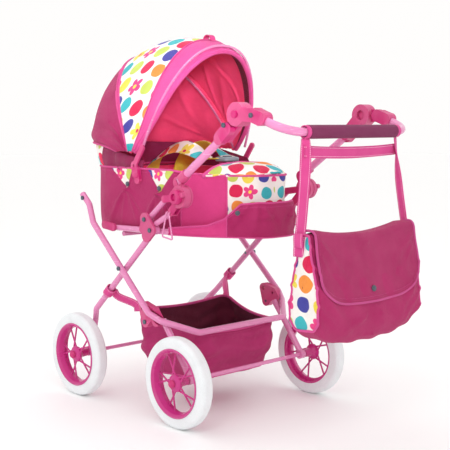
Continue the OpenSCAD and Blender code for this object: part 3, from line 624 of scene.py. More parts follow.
def puffed(piece, pressure, cap, pinned=None, frames=20):
    """Swells a closed piece by cloth simulation, and keeps every point within cap millimetres."""
    mesh = piece.data
    rest = np.array([v.co for v in mesh.vertices], float)
    group = piece.vertex_groups.new(name="pin")
    if pinned is not None:
        group.add([int(i) for i in np.nonzero(pinned)[0]], 1.0, "REPLACE")
    cloth = piece.modifiers.new("Cloth", "CLOTH")
    cloth.settings.quality = 6
    cloth.settings.mass = 0.25
    cloth.settings.use_pressure = True
    cloth.settings.uniform_pressure_force = pressure
    cloth.settings.effector_weights.gravity = 0
    cloth.settings.vertex_group_mass = "pin"
    cloth.point_cache.frame_start = 1
    cloth.point_cache.frame_end = frames
    scene = bpy.context.scene
    for step in range(1, frames + 1):
        scene.frame_set(step)
    shown = piece.evaluated_get(bpy.context.evaluated_depsgraph_get())
    moved = np.array([v.co for v in shown.data.vertices], float) - rest
    piece.modifiers.remove(cloth)
    piece.vertex_groups.remove(group)
    far = np.linalg.norm(moved, axis=1, keepdims=True)
    moved *= cap * MM * np.tanh(far / (cap * MM)) / np.maximum(far, 1e-9)
    mesh.vertices.foreach_set("co", (rest + moved).astype(np.float32).ravel())
    mesh.update()
    scene.frame_set(1)
    return piece


def finish_soft(piece, body, nodes=()):
    """Puts a piece on a body and hides the nodes that it stands for."""
    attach(piece, body)
    if nodes:
        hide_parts(*nodes)
    return piece


def blend_by(piece):
    """Bakes a piece's placement into its mesh."""
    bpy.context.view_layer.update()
    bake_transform(piece)
    return piece

# ------------------------------------------------------------------ hood

PIVOT_X, PIVOT_Z = 172, 490
RIM, BAND_SEAM, MID, HEM = -24, -12, 31, 80
HOOD_ANGLES = [-24, -10, 0, 31, 50, 84]
HOOD_TALL = [254, 258, 261, 267, 270, 262]
HOOD_HALF = [145, 147, 148, 151, 151, 147]
HOOD_POWER = [2.05, 2.2, 2.25, 2.35, 2.4, 2.5]
HOOD_LOW = 28
HOOD_CENTRE = (220, 0, 560)


def hood_at(angle, share, inset=0.0):
    """Points of the hood at angles forward of the upright, and shares -1 to 1 across its arch."""
    angle, share = np.broadcast_arrays(np.asarray(angle, float), np.asarray(share, float))
    tall = np.interp(angle, HOOD_ANGLES, HOOD_TALL) - inset
    half = np.interp(angle, HOOD_ANGLES, HOOD_HALF) - inset
    power = np.interp(angle, HOOD_ANGLES, HOOD_POWER)
    low = np.minimum(HOOD_LOW / np.cos(np.radians(np.clip(angle, -80, 78))), 76)
    turn = share * np.arccos((low / tall) ** (power / 2))
    r = tall * np.cos(turn) ** (2 / power)
    y = half * np.sign(turn) * np.abs(np.sin(turn)) ** (2 / power)
    near = np.clip(1 - (r - low) / 100, 0, 1) ** 2 * np.interp(angle, [RIM, MID, 60], [24, 6, 0])
    a = np.radians(angle)
    return np.stack([PIVOT_X + r * np.sin(a) + near, y, PIVOT_Z + r * np.cos(a)], -1)


def hood_hem(share):
    """The front panel's lower edge drops from the front to the sides."""
    return HEM - 11 * np.abs(share) ** 3


def hood_rise(p):
    """Height of hood points above the hood's lower edge, in millimetres."""
    return np.clip(p[..., 2] - PIVOT_Z - HOOD_LOW, 0, 400)


def hood_grid(start, end, rows, columns, inset=0.0, hem=False):
    share = np.linspace(-1, 1, columns)[None]
    last = hood_hem(share) if hem else end
    angle = start + (last - start) * np.linspace(0, 1, rows)[:, None]
    angle = np.broadcast_to(angle, (rows, columns))
    return angle, np.broadcast_to(share, angle.shape), hood_at(angle, share, inset)


def back_creases(angle, share, p):
    """The printed panel: pulled in between its bows, and crumpled low down by the pivots."""
    t = np.clip((angle - BAND_SEAM) / (MID - BAND_SEAM), 0, 1)
    rise = hood_rise(p)
    low = np.exp(-rise / 55) * (1.9 * np.sin(9 * t + 0.03 * rise) + 1.3 * np.sin(17 * t + 1.1 + 5 * share))
    drift = 0.9 * np.sin(7 * share + 3 * t) + 0.6 * np.sin(15 * share - 5 * t + 2)
    dish = -3.4 * np.sin(np.pi * t) * np.clip(rise / 80, 0, 1)
    band = 1.6 * smooth((BAND_SEAM - angle) / 2) * smooth((angle - RIM) / 2)
    return (low + drift * np.sin(np.pi * t) + dish) * (angle > BAND_SEAM) + band


def front_creases(angle, share):
    """The front panel: bellied between the middle bow and the hem, with long soft folds."""
    t = np.clip((angle - MID) / (hood_hem(share) - MID), 0, 1)
    belly = 2.5 * np.sin(np.pi * t) + 4.0 * bump(t, 0.9, 0.07) - 3.0 * bump(t, 0.985, 0.03)
    side_share = np.abs(share)
    folds = add_folds(side_share, t, (
        ((0.97, 0.12), (0.5, 0.85), 0.035, 4.0), ((0.98, 0.3), (0.72, 0.95), 0.03, 3.2),
        ((0.99, 0.55), (0.86, 0.97), 0.025, 2.6), ((0.975, 0.2), (0.62, 0.92), 0.02, -2.6),
    ))
    drift = 1.0 * np.sin(9 * share + 4 * t) * np.sin(np.pi * t)
    return belly + folds + drift


def add_hood():
    columns = 141
    angle, share, p = hood_grid(RIM, MID, 66, columns)
    grid = pushed(p, back_creases(angle, share, p), HOOD_CENTRE)
    between = (angle[:-1, :-1] + angle[1:, 1:]) / 2
    picks = np.where(between < BAND_SEAM, 1, np.where(between > MID - 2.2, 1, 0))
    # the back panel's inner faces and hems are the dark maroon painted shade
    cloth = [MAT["print"], MAT["band"], MAT["painted_shade"]]
    back = cloth_sheet("hood_back", grid, cloth, 1.2, picks, 2, centre=HOOD_CENTRE)
    blend_by(back)
    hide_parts("hood_shell")

    angle, share, p = hood_grid(MID, HEM, 54, columns, hem=True)
    grid = pushed(p, front_creases(angle, share), HOOD_CENTRE)
    front_edge = grid[-1]
    between = (angle[:-1, :-1] + angle[1:, 1:]) / 2
    picks = np.where(between < MID + 2.2, 1, 0)
    cloth = [MAT["magenta"], MAT["band"], MAT["coral"]]
    front = cloth_sheet("hood_front", grid, cloth, 1.2, picks, 2, centre=HOOD_CENTRE)
    blend_by(front)
    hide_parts("hood_front_panel")

    # the lining hangs a little inside the outer cloth, slack between the bows
    angle, share, p = hood_grid(RIM + 0.2, MID, 60, columns)
    inset = np.interp(angle, [RIM, -19, -13, 0], [9.2, 9.0, 5.5, 5])
    p = hood_at(angle, share, inset)
    t = (angle - RIM) / (MID - RIM)
    slack = -4 * np.sin(np.pi * t) * np.clip(hood_rise(p) / 90, 0.2, 1)
    slack += 1.8 * np.sin(11 * share + 6 * t) * smooth(4 * t)
    slack -= fold(np.abs(share), t, (0.95, 0.95), (0.35, 0.35), 0.05, 5)
    slack -= 2.5 * np.exp(-hood_rise(p) / 40) * np.sin(14 * t)
    slack -= add_folds(share, t, (
        ((-0.9, 0.2), (-0.2, 0.7), 0.03, 5.0), ((0.2, 0.9), (0.75, 0.25), 0.03, 4.6),
        ((-0.7, 0.9), (-0.1, 0.5), 0.03, 4.0), ((0.5, 0.3), (0.1, 0.8), 0.03, 4.0),
    ))
    slack = slack * smooth((t - 0.14) * 8)
    # the lining's strip next to the rim is the dark maroon painted shade on both sides: a painted shadow just
    # inside the hood's rim
    picks = np.where((angle[:-1, :-1] + angle[1:, 1:]) / 2 < RIM + 9, 1, 0)
    lining_back = cloth_sheet(
        "hood_lining_back", pushed(p, slack, HOOD_CENTRE), [MAT["coral"], MAT["painted_shade"]], 0.8, picks, picks,
        centre=HOOD_CENTRE,
    )
    blend_by(lining_back)

    angle, share, p = hood_grid(MID, HEM, 44, columns, inset=5, hem=True)
    t = np.clip((angle - MID) / (hood_hem(share) - MID), 0, 1)
    slack = -5 * np.sin(np.pi * t) + 2.2 * np.sin(8 * share - 4 * t) + 1.2 * np.sin(23 * share + 9 * t)
    slack -= 7 * smooth((t - 0.78) * 6)
    slack -= add_folds(share, t, (
        ((0.1, 0.05), (-0.5, 0.8), 0.03, 6), ((0.6, 0.1), (0.05, 0.9), 0.03, 6),
        ((-0.3, 0.1), (-0.75, 0.6), 0.035, 6), ((0.9, 0.2), (0.4, 0.6), 0.04, -6),
        ((-0.8, 0.75), (-0.1, 0.62), 0.03, 5), ((0.3, 0.5), (-0.3, 0.35), 0.03, 5),
    ))
    grid = pushed(p, slack, HOOD_CENTRE)
    lining_front = cloth_sheet("hood_lining_front", grid, [MAT["coral"]], 0.8, centre=HOOD_CENTRE)
    blend_by(lining_front)

    arch = np.linspace(-1, 1, 121)
    trims = []
    sleeve = tube("hood_bow_sleeve", hood_at(MID, arch, 8.6), 4.4, MAT["coral"], 12)
    finish_soft(sleeve, "hood_mid")
    rim_edge = tube("hood_rim_edge", hood_at(RIM - 0.3, arch, 4.8), 5.0, MAT["band"], 14)
    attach(rim_edge, "hood_rim")
    seam = tube("hood_band_piping", hood_at(BAND_SEAM, arch, -1.2), 1.5, MAT["piping"], 8)
    blend_by(seam)
    casing = tube("hood_casing_piping", hood_at(MID, arch, -0.8), 1.7, MAT["piping"], 8)
    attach(casing, "hood_mid")
    hem = tube("hood_front_hem", front_edge, 2.2, MAT["piping"], 10)
    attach(hem, "seat")
    trims += [rim_edge, seam, casing, hem]
    for name, angle_at in (("hood_band_stitches_a", RIM + 1.3), ("hood_band_stitches_b", BAND_SEAM - 0.9)):
        line = hood_at(angle_at, arch, -1.8)
        row = stitches(name, line, (0, 0, 1), MAT["band"])
        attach(row, "hood_rim")
        trims.append(row)
    tab_foot = hood_at(-12.5, 0.0, 0)
    loop = [tab_foot + np.array([dx, 0, dz]) for dx, dz in ((11, 1), (8, 8), (0, 10.5), (-8, 7), (-11, -1))]
    tab = strap("hood_tab", curve_through(loop, 24), (0, 1, 0), 14, 1.8, MAT["pink"])
    finish_soft(tab, "hood_rim")


# ------------------------------------------------------------------ carrycot

TUB_LOW, TUB_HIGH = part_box("carrycot_tub")
COT_REAR = (AXLE_X - TUB_HIGH[0]) / MM
COT_FRONT = (AXLE_X - TUB_LOW[0]) / MM
COT_HALF = TUB_HIGH[1] / MM
COT_BOTTOM, COT_TOP = TUB_LOW[2] / MM, TUB_HIGH[2] / MM
FRONT_R = 112
REAR_R = 45
SHOULDER = (84, COT_HALF - REAR_R)
TAIL = (COT_REAR + REAR_R, 12)
TAPER = math.atan2(SHOULDER[1] - TAIL[1], SHOULDER[0] - TAIL[0])


def outline_path(front, front_r, rear_r):
    """One half of a plan outline from the middle of the front round to the middle of the rear:
    its points, their outward directions and how far round each one is."""
    parts = []
    w = SHOULDER[1] + rear_r
    for centre, r, start, end in (
        ((front - front_r, w - front_r), front_r, 0, math.pi / 2),
        (SHOULDER, rear_r, math.pi / 2, math.pi / 2 + TAPER),
        (TAIL, rear_r, math.pi / 2 + TAPER, math.pi),
    ):
        turn = np.linspace(start, end, 60)
        way = np.stack([np.cos(turn), np.sin(turn)], -1)
        parts.append(np.concatenate([np.array(centre) + r * way, way], -1))
    first, last = parts[0][0].copy(), parts[-1][-1].copy()
    first[1], last[1] = 0, 0
    line = np.concatenate([first[None], *parts, last[None]])
    far = travel(line[:, :2])
    return line, far


COT_LINE, COT_FAR = outline_path(COT_FRONT, FRONT_R, REAR_R)
ROUND = COT_FAR[-1]


def along_outline(line, far, s, inset=0.0):
    """Points s millimetres round an outline from the middle of its front, on either side."""
    a = np.abs(s)
    x, y, nx, ny = (np.interp(a, far, line[:, i]) for i in range(4))
    return np.stack([x - nx * inset, (y - ny * inset) * np.sign(s)], -1)


def cot_at(s, inset=0.0):
    return along_outline(COT_LINE, COT_FAR, s, inset)


def s_at(x):
    """How far round the outline the side passes a place x."""
    side_part = COT_LINE[:, 1] > 0.5
    return float(np.interp(-x, -COT_LINE[side_part, 0], COT_FAR[side_part]))


# Two printed windows in each side: lowest point, top, half width there, and how far they lean
WINDOWS = [(s_at(203), 444, 485, 36, -20), (s_at(100), 440, 485, 40, 0)]
PINK_FROM, PINK_TO = s_at(52), s_at(-18)
WALL_TOP = 484
COT_CENTRE = (133, 0, 418)
# Where the collar under the hood ends, where it leaves the hood's hem, and where its print starts
COLLAR_END, COLLAR_HEM, COLLAR_PRINT = 152, 243, 288


def wall_cloth():
    """The side cloth: magenta with printed windows, a pink side panel and a printed rear."""
    g = Graph("cot_side_cloth")
    flat = g.cloth_place()
    u, v, _ = g.split(flat)
    s = g.calc("ABSOLUTE", g.calc("DIVIDE", u, MM))
    z = g.calc("DIVIDE", v, MM)
    printed = g.calc("GREATER_THAN", s, PINK_TO)
    for low_s, low_z, top_z, half, lean in WINDOWS:
        up = g.calc("DIVIDE", g.calc("SUBTRACT", z, low_z), top_z - low_z)
        off = g.calc("SUBTRACT", g.calc("SUBTRACT", s, low_s), g.calc("MULTIPLY", up, lean))
        off = g.calc("ABSOLUTE", off)
        printed = g.calc("MAXIMUM", printed, g.calc("LESS_THAN", off, g.calc("MULTIPLY", up, half)))
    colour = g.mix(g.calc("GREATER_THAN", s, PINK_FROM), rgb(MAGENTA), rgb("#DC3A84"))
    moved = g.vector("ADD", g.join(g.calc("MULTIPLY", s, MM), v), (0.012, 0.006, 0))
    colour = g.mix(printed, colour, print_colour(g, moved, 0.031))
    return cloth_surface(g, colour)


MAT["cot"] = wall_cloth()


def wall_creases(s, z):
    """Folds that run down from the windows' points, and slack towards the bottom edge."""
    a = np.abs(s)
    out = 1.5 * np.sin(np.pi * np.clip((z - COT_BOTTOM) / 120, 0, 1))
    for (low_s, low_z, *_), reach in zip(WINDOWS, (66, 58)):
        for ds, dz, width, height in (
            (-reach, -74, 7, 5.4), (-18, -80, 6, 4.2), (reach * 0.55, -78, 7, 5.0),
            (reach, -60, 6, 4.6), (-reach * 0.7, -40, 5, 3.2), (reach * 0.9, -34, 5, 3.0),
        ):
            out = out + fold(a, z, (low_s + ds * 0.05, low_z - 3), (low_s + ds, low_z + dz), width, height)
            start, end = (low_s + ds * 0.1, low_z - 6), (low_s + ds * 0.8, low_z + dz)
            out = out - fold(a, z, start, end, width * 0.6, height * 0.5)
        up = np.clip((z - low_z) / 44, 0, 1)
        out = out - 2.2 * bump(np.abs(a - low_s), 36 * up, 3.2) * (z > low_z)
    fade = (a < PINK_FROM - 8) * 1.0
    pink = (a >= PINK_FROM - 8) * (1.2 * np.sin(a / 23) * np.cos(z / 31) + 1.0 * np.sin(a / 11 + z / 19))
    seam = -2.0 * bump(a, PINK_TO, 3) - 2.0 * bump(a, PINK_FROM, 3)
    gathers = 0.7 * np.sin(a / 4.2 + np.sin(z / 17)) * np.exp(-((z - WALL_TOP) ** 2) / 300) * fade
    return out * fade + pink + seam + gathers


def add_carrycot():
    s = np.linspace(-ROUND, ROUND, 421)
    levels = np.linspace(COT_BOTTOM + 1, WALL_TOP, 60)
    top = np.interp(cot_at(s)[:, 0], [COT_REAR, 0, 40, 70], [COT_TOP - 4, COT_TOP - 4, COT_TOP, WALL_TOP])
    foot = COT_BOTTOM + 1
    z = foot + (levels[:, None] - foot) / (WALL_TOP - foot) * (top[None] - foot)
    ss = np.broadcast_to(s, z.shape)
    ground = np.concatenate([cot_at(ss), z[..., None]], -1)
    centre = COT_CENTRE
    tuck = -6 * np.exp(-(z - COT_BOTTOM) / 7)
    wall = pushed(ground, wall_creases(ss, z) + tuck, centre)
    # the bottom is rings drawn in towards the middle of the wall's lowest row
    shares = np.linspace(0.01, 0.94, 9)
    fans = [wall[0] * [q, q, 1] + np.array([COT_CENTRE[0] * (1 - q), 0, 0]) for q in shares]
    grid = np.concatenate([np.array(fans), wall])
    fan_levels = (COT_BOTTOM - 60 * (1 - shares))[:, None] * np.ones(len(s))
    flat_levels = np.concatenate([fan_levels, z]) * MM
    flat = np.stack([np.broadcast_to(s * MM, grid.shape[:2]), flat_levels], -1)
    shell = cloth_sheet("carrycot_wall", grid, [MAT["cot"], MAT["coral"]], 1.6, 0, 1, flat, centre, weld=True)
    finish_soft(shell, "seat", ["carrycot_tub"])

    # lining inside the wall, down to the mattress
    z_in = np.linspace(384, 479, 20)[:, None]
    ss = np.broadcast_to(s, (20, len(s)))
    inner = np.concatenate([cot_at(ss, 6.5), (z_in + 0 * ss)[..., None]], -1)
    ripples = 1.6 * np.sin(ss / 19 + np.sin(z_in / 15)) + 1.0 * np.sin(ss / 7.3 + z_in / 9)
    inner = pushed(inner, ripples, centre)
    picks = np.where(cot_at(s)[:-1, 0] < 60, 1, 0)[None]
    lining = cloth_sheet(
        "carrycot_lining", inner, [MAT["coral"], MAT["print"]], 1.0, picks, picks, centre=centre, weld=True
    )
    finish_soft(lining, "seat")

    # under the hood the cloth goes on up from the wall, and leans out to the hood's hem
    hem_from = s_at(COLLAR_HEM)
    s_up = np.linspace(-s_at(COLLAR_END), s_at(COLLAR_END), 261)
    foot = np.concatenate([cot_at(s_up, 3.0), np.full((len(s_up), 1), 479.0)], -1)
    share = np.clip(s_up / hem_from, -1, 1)
    brow = hood_at(hood_hem(share) - 1.5, share, 6.5)
    flank = np.abs(s_up) > hem_from
    brow[flank, :2] = foot[flank, :2]
    hem_z = brow[np.argmin(np.abs(s_up - hem_from)), 2]
    brow[flank, 2] = np.interp(foot[flank, 0], [COLLAR_END, COLLAR_HEM], [500, hem_z])
    t = np.linspace(0, 1, 18)[:, None, None]
    collar = foot[None] + (brow - foot)[None] * t
    t = t[..., 0]
    swell = np.sin(np.pi * t)
    bulge = 5 * swell + 1.8 * np.sin(s_up[None] / 13 + t * 2) * swell + 0.8 * np.sin(s_up[None] / 5.1)
    collar = pushed(collar, bulge * np.ones_like(s_up)[None], centre)
    picks = np.where(foot[:-1, 0] > COLLAR_PRINT, 0, 1)[None]
    up = cloth_sheet("carrycot_collar", collar, [MAT["print"], MAT["collar"]], 1.2, picks, 1, centre=centre)
    finish_soft(up, "seat")

    edge = wall[-1][:-1] + np.array([0, 0, 0.6])
    piping = tube("carrycot_piping", edge, 2.1, MAT["piping"], 10, closed=True)
    low_seam = tube("carrycot_bottom_piping", wall[3][:-1], 1.6, MAT["piping"], 8, closed=True)
    seams = [piping, low_seam]
    for side_sign, word in ((1, "left"), (-1, "right")):
        for where, part in ((PINK_FROM, "front"), (PINK_TO, "rear")):
            column = int(np.argmin(np.abs(s - side_sign * where)))
            seam = tube(f"carrycot_seam_{part}_{word}", wall[4:-1, column], 1.4, MAT["piping"], 8)
            seams.append(seam)
        line = [wall[-4, int(np.argmin(np.abs(s - side_sign * q)))] for q in np.arange(30, s_at(40), 6)]
        seams.append(stitches(f"carrycot_stitches_{word}", line, (0, side_sign, 0), MAT["stitch"]))
        for n, (low_s, low_z, *_) in enumerate(WINDOWS, 1):
            column = int(np.argmin(np.abs(s - side_sign * low_s)))
            row = int(np.argmin(np.abs(levels - (low_z + 8))))
            at = wall[row, column] + [0, side_sign * 1.0, 0]
            snap = round_snap(f"carrycot_snap_{n}_{word}", at, (0, side_sign, 0))
            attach(snap, "seat")
    for piece in seams:
        finish_soft(piece, "seat")


def round_snap(name, at, facing, radius=5.0, high=2.6, finish="snap"):
    """A press stud: a domed cap with a rolled lip."""
    at = side(at)
    n = unit(np.asarray(facing, float) * [-1, -1, 1])
    a = unit(np.cross(n, (0.31, 0.2, 0.93)))
    b = np.cross(n, a)
    profile = [
        (0.2, -0.5), (1.0, -0.5), (1.0, 0.25), (0.92, 0.5), (0.74, 0.5), (0.66, 0.35), (0.5, 0.75),
        (0.25, 0.95), (0.02, 1.0),
    ]
    turn = np.arange(20) * math.pi / 10
    rings = [
        at + n * z * high * MM + radius * MM * r * (a * np.cos(turn)[:, None] + b * np.sin(turn)[:, None])
        for r, z in profile
    ]
    flat = [[(k * 0.001, i * 0.001) for k in range(21)] for i in range(len(rings))]
    return loft(name, rings, MAT[finish], flat)


# ------------------------------------------------------------------ things laid in the carrycot


def cot_ring(share, inset):
    """One ring of the carrycot's outline, inset, and drawn in towards its middle by share."""
    s = np.linspace(-ROUND, ROUND, 180, endpoint=False)
    ring = cot_at(s, inset)
    middle = np.array([(COT_REAR + COT_FRONT) / 2, 0])
    return middle + (ring - middle) * share


def add_mattress():
    """A quilted pad: stitched down in diamonds, soft round its edge."""
    low, high = 364.5, 385
    shares = np.concatenate(
        [np.linspace(0.03, 0.95, 24), [0.985, 1.0, 1.0, 0.985], np.linspace(0.95, 0.03, 6)]
    )
    level = np.concatenate([np.full(24, high), [high - 3, high - 8, low + 5, low + 1], np.full(6, low)])
    rings, flat = [], []
    for i, (share, z) in enumerate(zip(shares, level)):
        xy = cot_ring(share, 9.5)
        u, v = (xy[:, 0] + xy[:, 1]) / 52, (xy[:, 0] - xy[:, 1]) / 52
        quilt = -4.2 * (1 - np.abs(np.sin(u * np.pi / 1.4)) * np.abs(np.sin(v * np.pi / 1.4))) ** 3 * (i < 24)
        ring = np.concatenate([xy, (z + quilt)[:, None]], -1)
        rings.append(side(ring))
        xy = np.concatenate([xy, xy[:1]]) * MM
        flat.append([tuple(q) for q in xy])
    mattress = loft("mattress_pad", rings, MAT["coral"], flat)
    finish_soft(mattress, "seat", ["mattress"])


COVER_FRONT = 16


def cover_half(x):
    """Half width of the foot cover at a place x: it follows the carrycot's tapered rear."""
    rear = COT_LINE[-121:]
    return np.interp(x, rear[::-1, 0], rear[::-1, 1])


def add_foot_cover():
    """The printed lid over the doll's feet: a padded dome with a bound front edge."""
    x = COT_REAR + (COVER_FRONT - COT_REAR) * (1 - np.cos(np.linspace(0.16, 1, 46) * np.pi / 2))[:, None]
    t = np.sin(np.linspace(-1, 1, 71) * np.pi / 2)[None]
    y = cover_half(x) * t + 0 * x
    high = np.interp(x, [COT_REAR, -62, -40, -12, COVER_FRONT], [2, 9, 17, 22, 21])
    arch = (1 - np.abs(t) ** 3.2) ** 0.75
    ripple = 1.3 * np.sin(x / 11 + 3 * t) * np.sin(6 * t + 1) * arch
    ripple = ripple + 1.0 * np.sin(x / 5 + 9 * t) * np.abs(t) ** 2
    z = COT_TOP - 2.5 + high * arch + ripple
    top = np.stack([x + 0 * y, y, z], -1)
    cover = cloth_sheet("foot_cover_pad", top, [MAT["print"], MAT["coral"]], 6.5, 0, 1, centre=(-30, 0, 380))
    rows, columns = top.shape[:2]
    edge = np.zeros((rows, columns), bool)
    edge[[0, -1]] = True
    edge[:, [0, -1]] = True
    puffed(cover, 3.5, 4.0, np.tile(edge.ravel(), 2), 16)
    finish_soft(cover, "seat", ["foot_cover"])
    front = top[-1] + np.array([1.5, 0, -2.5])
    binding = tube("foot_cover_binding", front, 4.6, MAT["band"], 12)
    ends = np.concatenate([top[::-1, 0], top[0, 1:], top[1:, -1]]) + np.array([0, 0, -0.6])
    piping = tube("foot_cover_piping", resample(ends, 4), 2.0, MAT["print"], 10)
    line = top[-4, 2:-2] + np.array([0, 0, 1.1])
    row = stitches("foot_cover_stitches", line, (0, 0, 1), MAT["stitch"])
    for piece in (binding, piping, row):
        finish_soft(piece, "seat")


APRON_R = REAR_R + 16.2
APRON_FRONT = 60
APRON_LINE, APRON_FAR = outline_path(200, 22, APRON_R)


def add_apron():
    """Cloth hung round the rear of the seat rail: a deep pocket behind, a narrow sleeve at the sides."""
    half_round = APRON_FAR[-1] - float(np.interp(-APRON_FRONT, -APRON_LINE[62:, 0], APRON_FAR[62:]))
    s = np.linspace(-half_round, half_round, 301)
    plan = along_outline(APRON_LINE, APRON_FAR, np.sign(s + 1e-9) * (APRON_FAR[-1] - np.abs(s)))
    x = plan[:, 0]
    places = [-87, -75, -50, -38, -26, 0, 30, APRON_FRONT]
    top = np.interp(x, places, [423, 424, 421, 407, 393, 380, 377, 374])
    t = np.linspace(0, 1, 28)[:, None]
    low = np.interp(x, [-87, 0, APRON_FRONT], [357, 358, 361])
    z = low + t * (top - low)[None]
    grid = np.concatenate([np.broadcast_to(plan, (28, len(s), 2)), z[..., None]], -1)
    a = np.abs(s)[None] + 0 * z
    deep = smooth((top - 385) / 35)[None]
    belly = np.sin(np.pi * t)
    drape = 3.0 * belly * deep - 3.5 * t**8 * deep + 1.2 * (t < 0.1) + 1.5 * belly * (1 - deep)
    bend = float(np.interp(52, -APRON_LINE[62:, 0], APRON_FAR[-1] - APRON_FAR[62:]))
    for start, end, width, height in (
        ((bend - 12, 420), (bend + 34, 366), 7, 3.4), ((bend - 30, 416), (bend - 22, 362), 7, 2.8),
        ((bend + 6, 408), (bend + 62, 372), 6, 2.6), ((bend - 44, 412), (6, 372), 8, 3.0),
        ((bend - 60, 398), (bend + 10, 388), 6, 2.2), ((bend + 24, 396), (bend + 78, 368), 5, 2.2),
    ):
        drape = drape + fold(a, z, start, end, width, height)
        drape = drape - fold(a, z, (start[0] - 9, start[1] - 8), (end[0] - 9, end[1]), width, height * 0.6)
    drape = drape + (0.9 * np.sin(a / 9 + z / 14) + 0.6 * np.sin(a / 4.3 - z / 9)) * np.sin(np.pi * t)
    centre = (10, 0, 385)
    grid = pushed(grid, drape, centre)
    picks = np.where(x[:-1] > -30, 1, 0)[None]
    cloth = [MAT["magenta"], MAT["pink"], MAT["coral"]]
    apron = cloth_sheet("rear_apron_cloth", grid, cloth, 1.3, picks, 2, centre=centre)
    finish_soft(apron, "seat", ["rear_apron"])
    trims = [tube("apron_top_piping", grid[-1], 2.0, MAT["piping"], 10)]
    trims.append(tube("apron_bottom_piping", grid[0] + np.array([0, 0, 0.5]), 1.5, MAT["piping"], 8))
    trims.append(stitches("apron_stitches", grid[-4, 4:-4], (0, 0, 1), MAT["stitch"]))
    for sign, word in ((1, "left"), (-1, "right")):
        column = int(np.argmin(np.abs(x + 30) + 1000 * (s * sign < 0)))
        trims.append(tube(f"apron_seam_{word}", grid[1:-1, column], 1.3, MAT["piping"], 8))
        column = int(np.argmin(np.abs(x + 46) + 1000 * (s * sign < 0)))
        trims.append(round_snap(f"apron_snap_{word}", grid[-6, column], (-0.7, sign * 0.7, 0)))
    for piece in trims:
        finish_soft(piece, "seat")


def add_harness():
    """Two padded shoulder straps that stand up over the doll and arch over to a buckle."""
    for sign, word in ((1, "left"), (-1, "right")):
        line = curve_through([
            (260, sign * 40, 388), (260, sign * 40, 440), (254, sign * 40, 476), (238, sign * 40, 497),
            (216, sign * 39, 511), (188, sign * 38, 522), (158, sign * 37, 526), (128, sign * 35, 519),
            (104, sign * 33, 508), (84, sign * 29, 503),
        ], 90)
        pad = padded_strip(f"harness_pad_{word}", line, 38, 7.0, MAT["pad_print"], MAT["yellow"], sign * 0.75)
        finish_soft(pad, "seat", ["harness"] if sign == 1 else [])
        web = strap(
            f"harness_web_{word}",
            curve_through([(88, sign * 29, 503), (78, sign * 22, 503), (66, sign * 10, 503)], 16),
            (0, 1, 0.1), 16, 1.6, MAT["yellow"],
        )
        finish_soft(web, "seat")


def rounded_ring(centre, half, power, count=48):
    """A level ring shaped between an oval and a rectangle, about a side-view centre."""
    turn = np.arange(count) * 2 * math.pi / count
    u, v = np.cos(turn), np.sin(turn)
    u, v = np.sign(u) * np.abs(u) ** (2 / power), np.sign(v) * np.abs(v) ** (2 / power)
    return side(np.stack([centre[0] + half[0] * u, centre[1] + half[1] * v, centre[2] + 0 * u], -1))


def add_buckle():
    """A moulded buckle with a raised release button, on a folded strap from the mattress."""
    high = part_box("harness_buckle")[1][2] / MM
    low = high - 9
    flat = [[(k * 0.002, i * 0.002) for k in range(49)] for i in range(7)]
    levels = ((low, 15, 17), (low, 17.5, 19.5), (low + 1.5, 18.7, 20.7), (high - 2.5, 18.7, 20.7),
              (high - 1, 17.6, 19.6), (high, 15, 17), (high, 2, 2))
    rings = [rounded_ring((63, 0, z), (a, b), 4.2) for z, a, b in levels]
    body = loft("buckle_body", rings, MAT["buckle"], flat)
    levels = ((high - 1, 8.6, 9.4), (high, 8.8, 9.6), (high + 1.5, 8.4, 9.2), (high + 2.2, 7.2, 8),
              (high + 1.6, 4, 5), (high + 1.2, 1, 1))
    rings = [rounded_ring((63, 0, z), (a, b), 2.6) for z, a, b in levels]
    button = loft("buckle_button", rings, MAT["snap"], flat)
    stem = curve_through([(54, 0, 385), (56, 0, 420), (53, 0, 460), (54, 0, high - 7)], 30)
    web = strap("buckle_strap", stem, (0, 1, 0), 20, 2.0, MAT["strap"])
    for piece in (body, button):
        finish_soft(piece, "seat")
    finish_soft(web, "seat")
    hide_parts("harness_buckle")


def padded_strip(name, line, width, thick, outer, inner, lean):
    """A long soft pad with a rounded section, quilted across, with a lining of its own colour.
    Its width leans down towards one side by lean."""
    p = side(line)
    tangent = unit(np.gradient(p, axis=0))
    t = np.linspace(0, 1, len(p))[:, None]
    lean = lean * smooth((t - 0.2) * 3) * smooth((1 - t) * 4)
    w = np.array([[0.0, -1.0, 0.0]]) + lean * np.array([[0.0, 0.0, -1.0]])
    w = unit(w - tangent * (tangent * w).sum(-1, keepdims=True))
    up = unit(np.cross(tangent, w))
    if up[:, 2].sum() < 0:
        up = -up
    turn = np.arange(28) * 2 * math.pi / 28
    cu = np.sign(np.cos(turn)) * np.abs(np.cos(turn)) ** 0.7
    su = np.sign(np.sin(turn)) * np.abs(np.sin(turn)) ** 0.9
    along = travel(p)
    pinch = 1 - 0.32 * bump((along / MM) % 22, 11, 2.2)
    ends = np.clip(np.minimum(along, along[-1] - along) / 0.006, 0.1, 1) ** 0.5
    half = width / 2 * MM * ends
    tall = thick / 2 * MM * pinch * ends
    rings = p[:, None] + w[:, None] * (half[:, None] * cu)[..., None]
    rings = rings + up[:, None] * (tall[:, None] * su)[..., None]
    flat = [[(a, width * MM * k / 28 * 2) for k in range(29)] for a in along]
    pad = loft(name, rings, outer, flat)
    pad.data.materials.append(inner)
    downs = [int((q.normal @ Vector(up[len(up) // 2])) < -0.2) for q in pad.data.polygons]
    pad.data.polygons.foreach_set("material_index", downs)
    return pad


# ------------------------------------------------------------------ bag behind the handle

BAG_HALF = 143
BAG_SIDE = [
    (-293, 390), (-315, 260), (-315, 214), (-303, 192), (-252, 192), (-242, 214), (-242, 250), (-263, 390),
]
BAG_CENTRE = (-279, 0, 290)


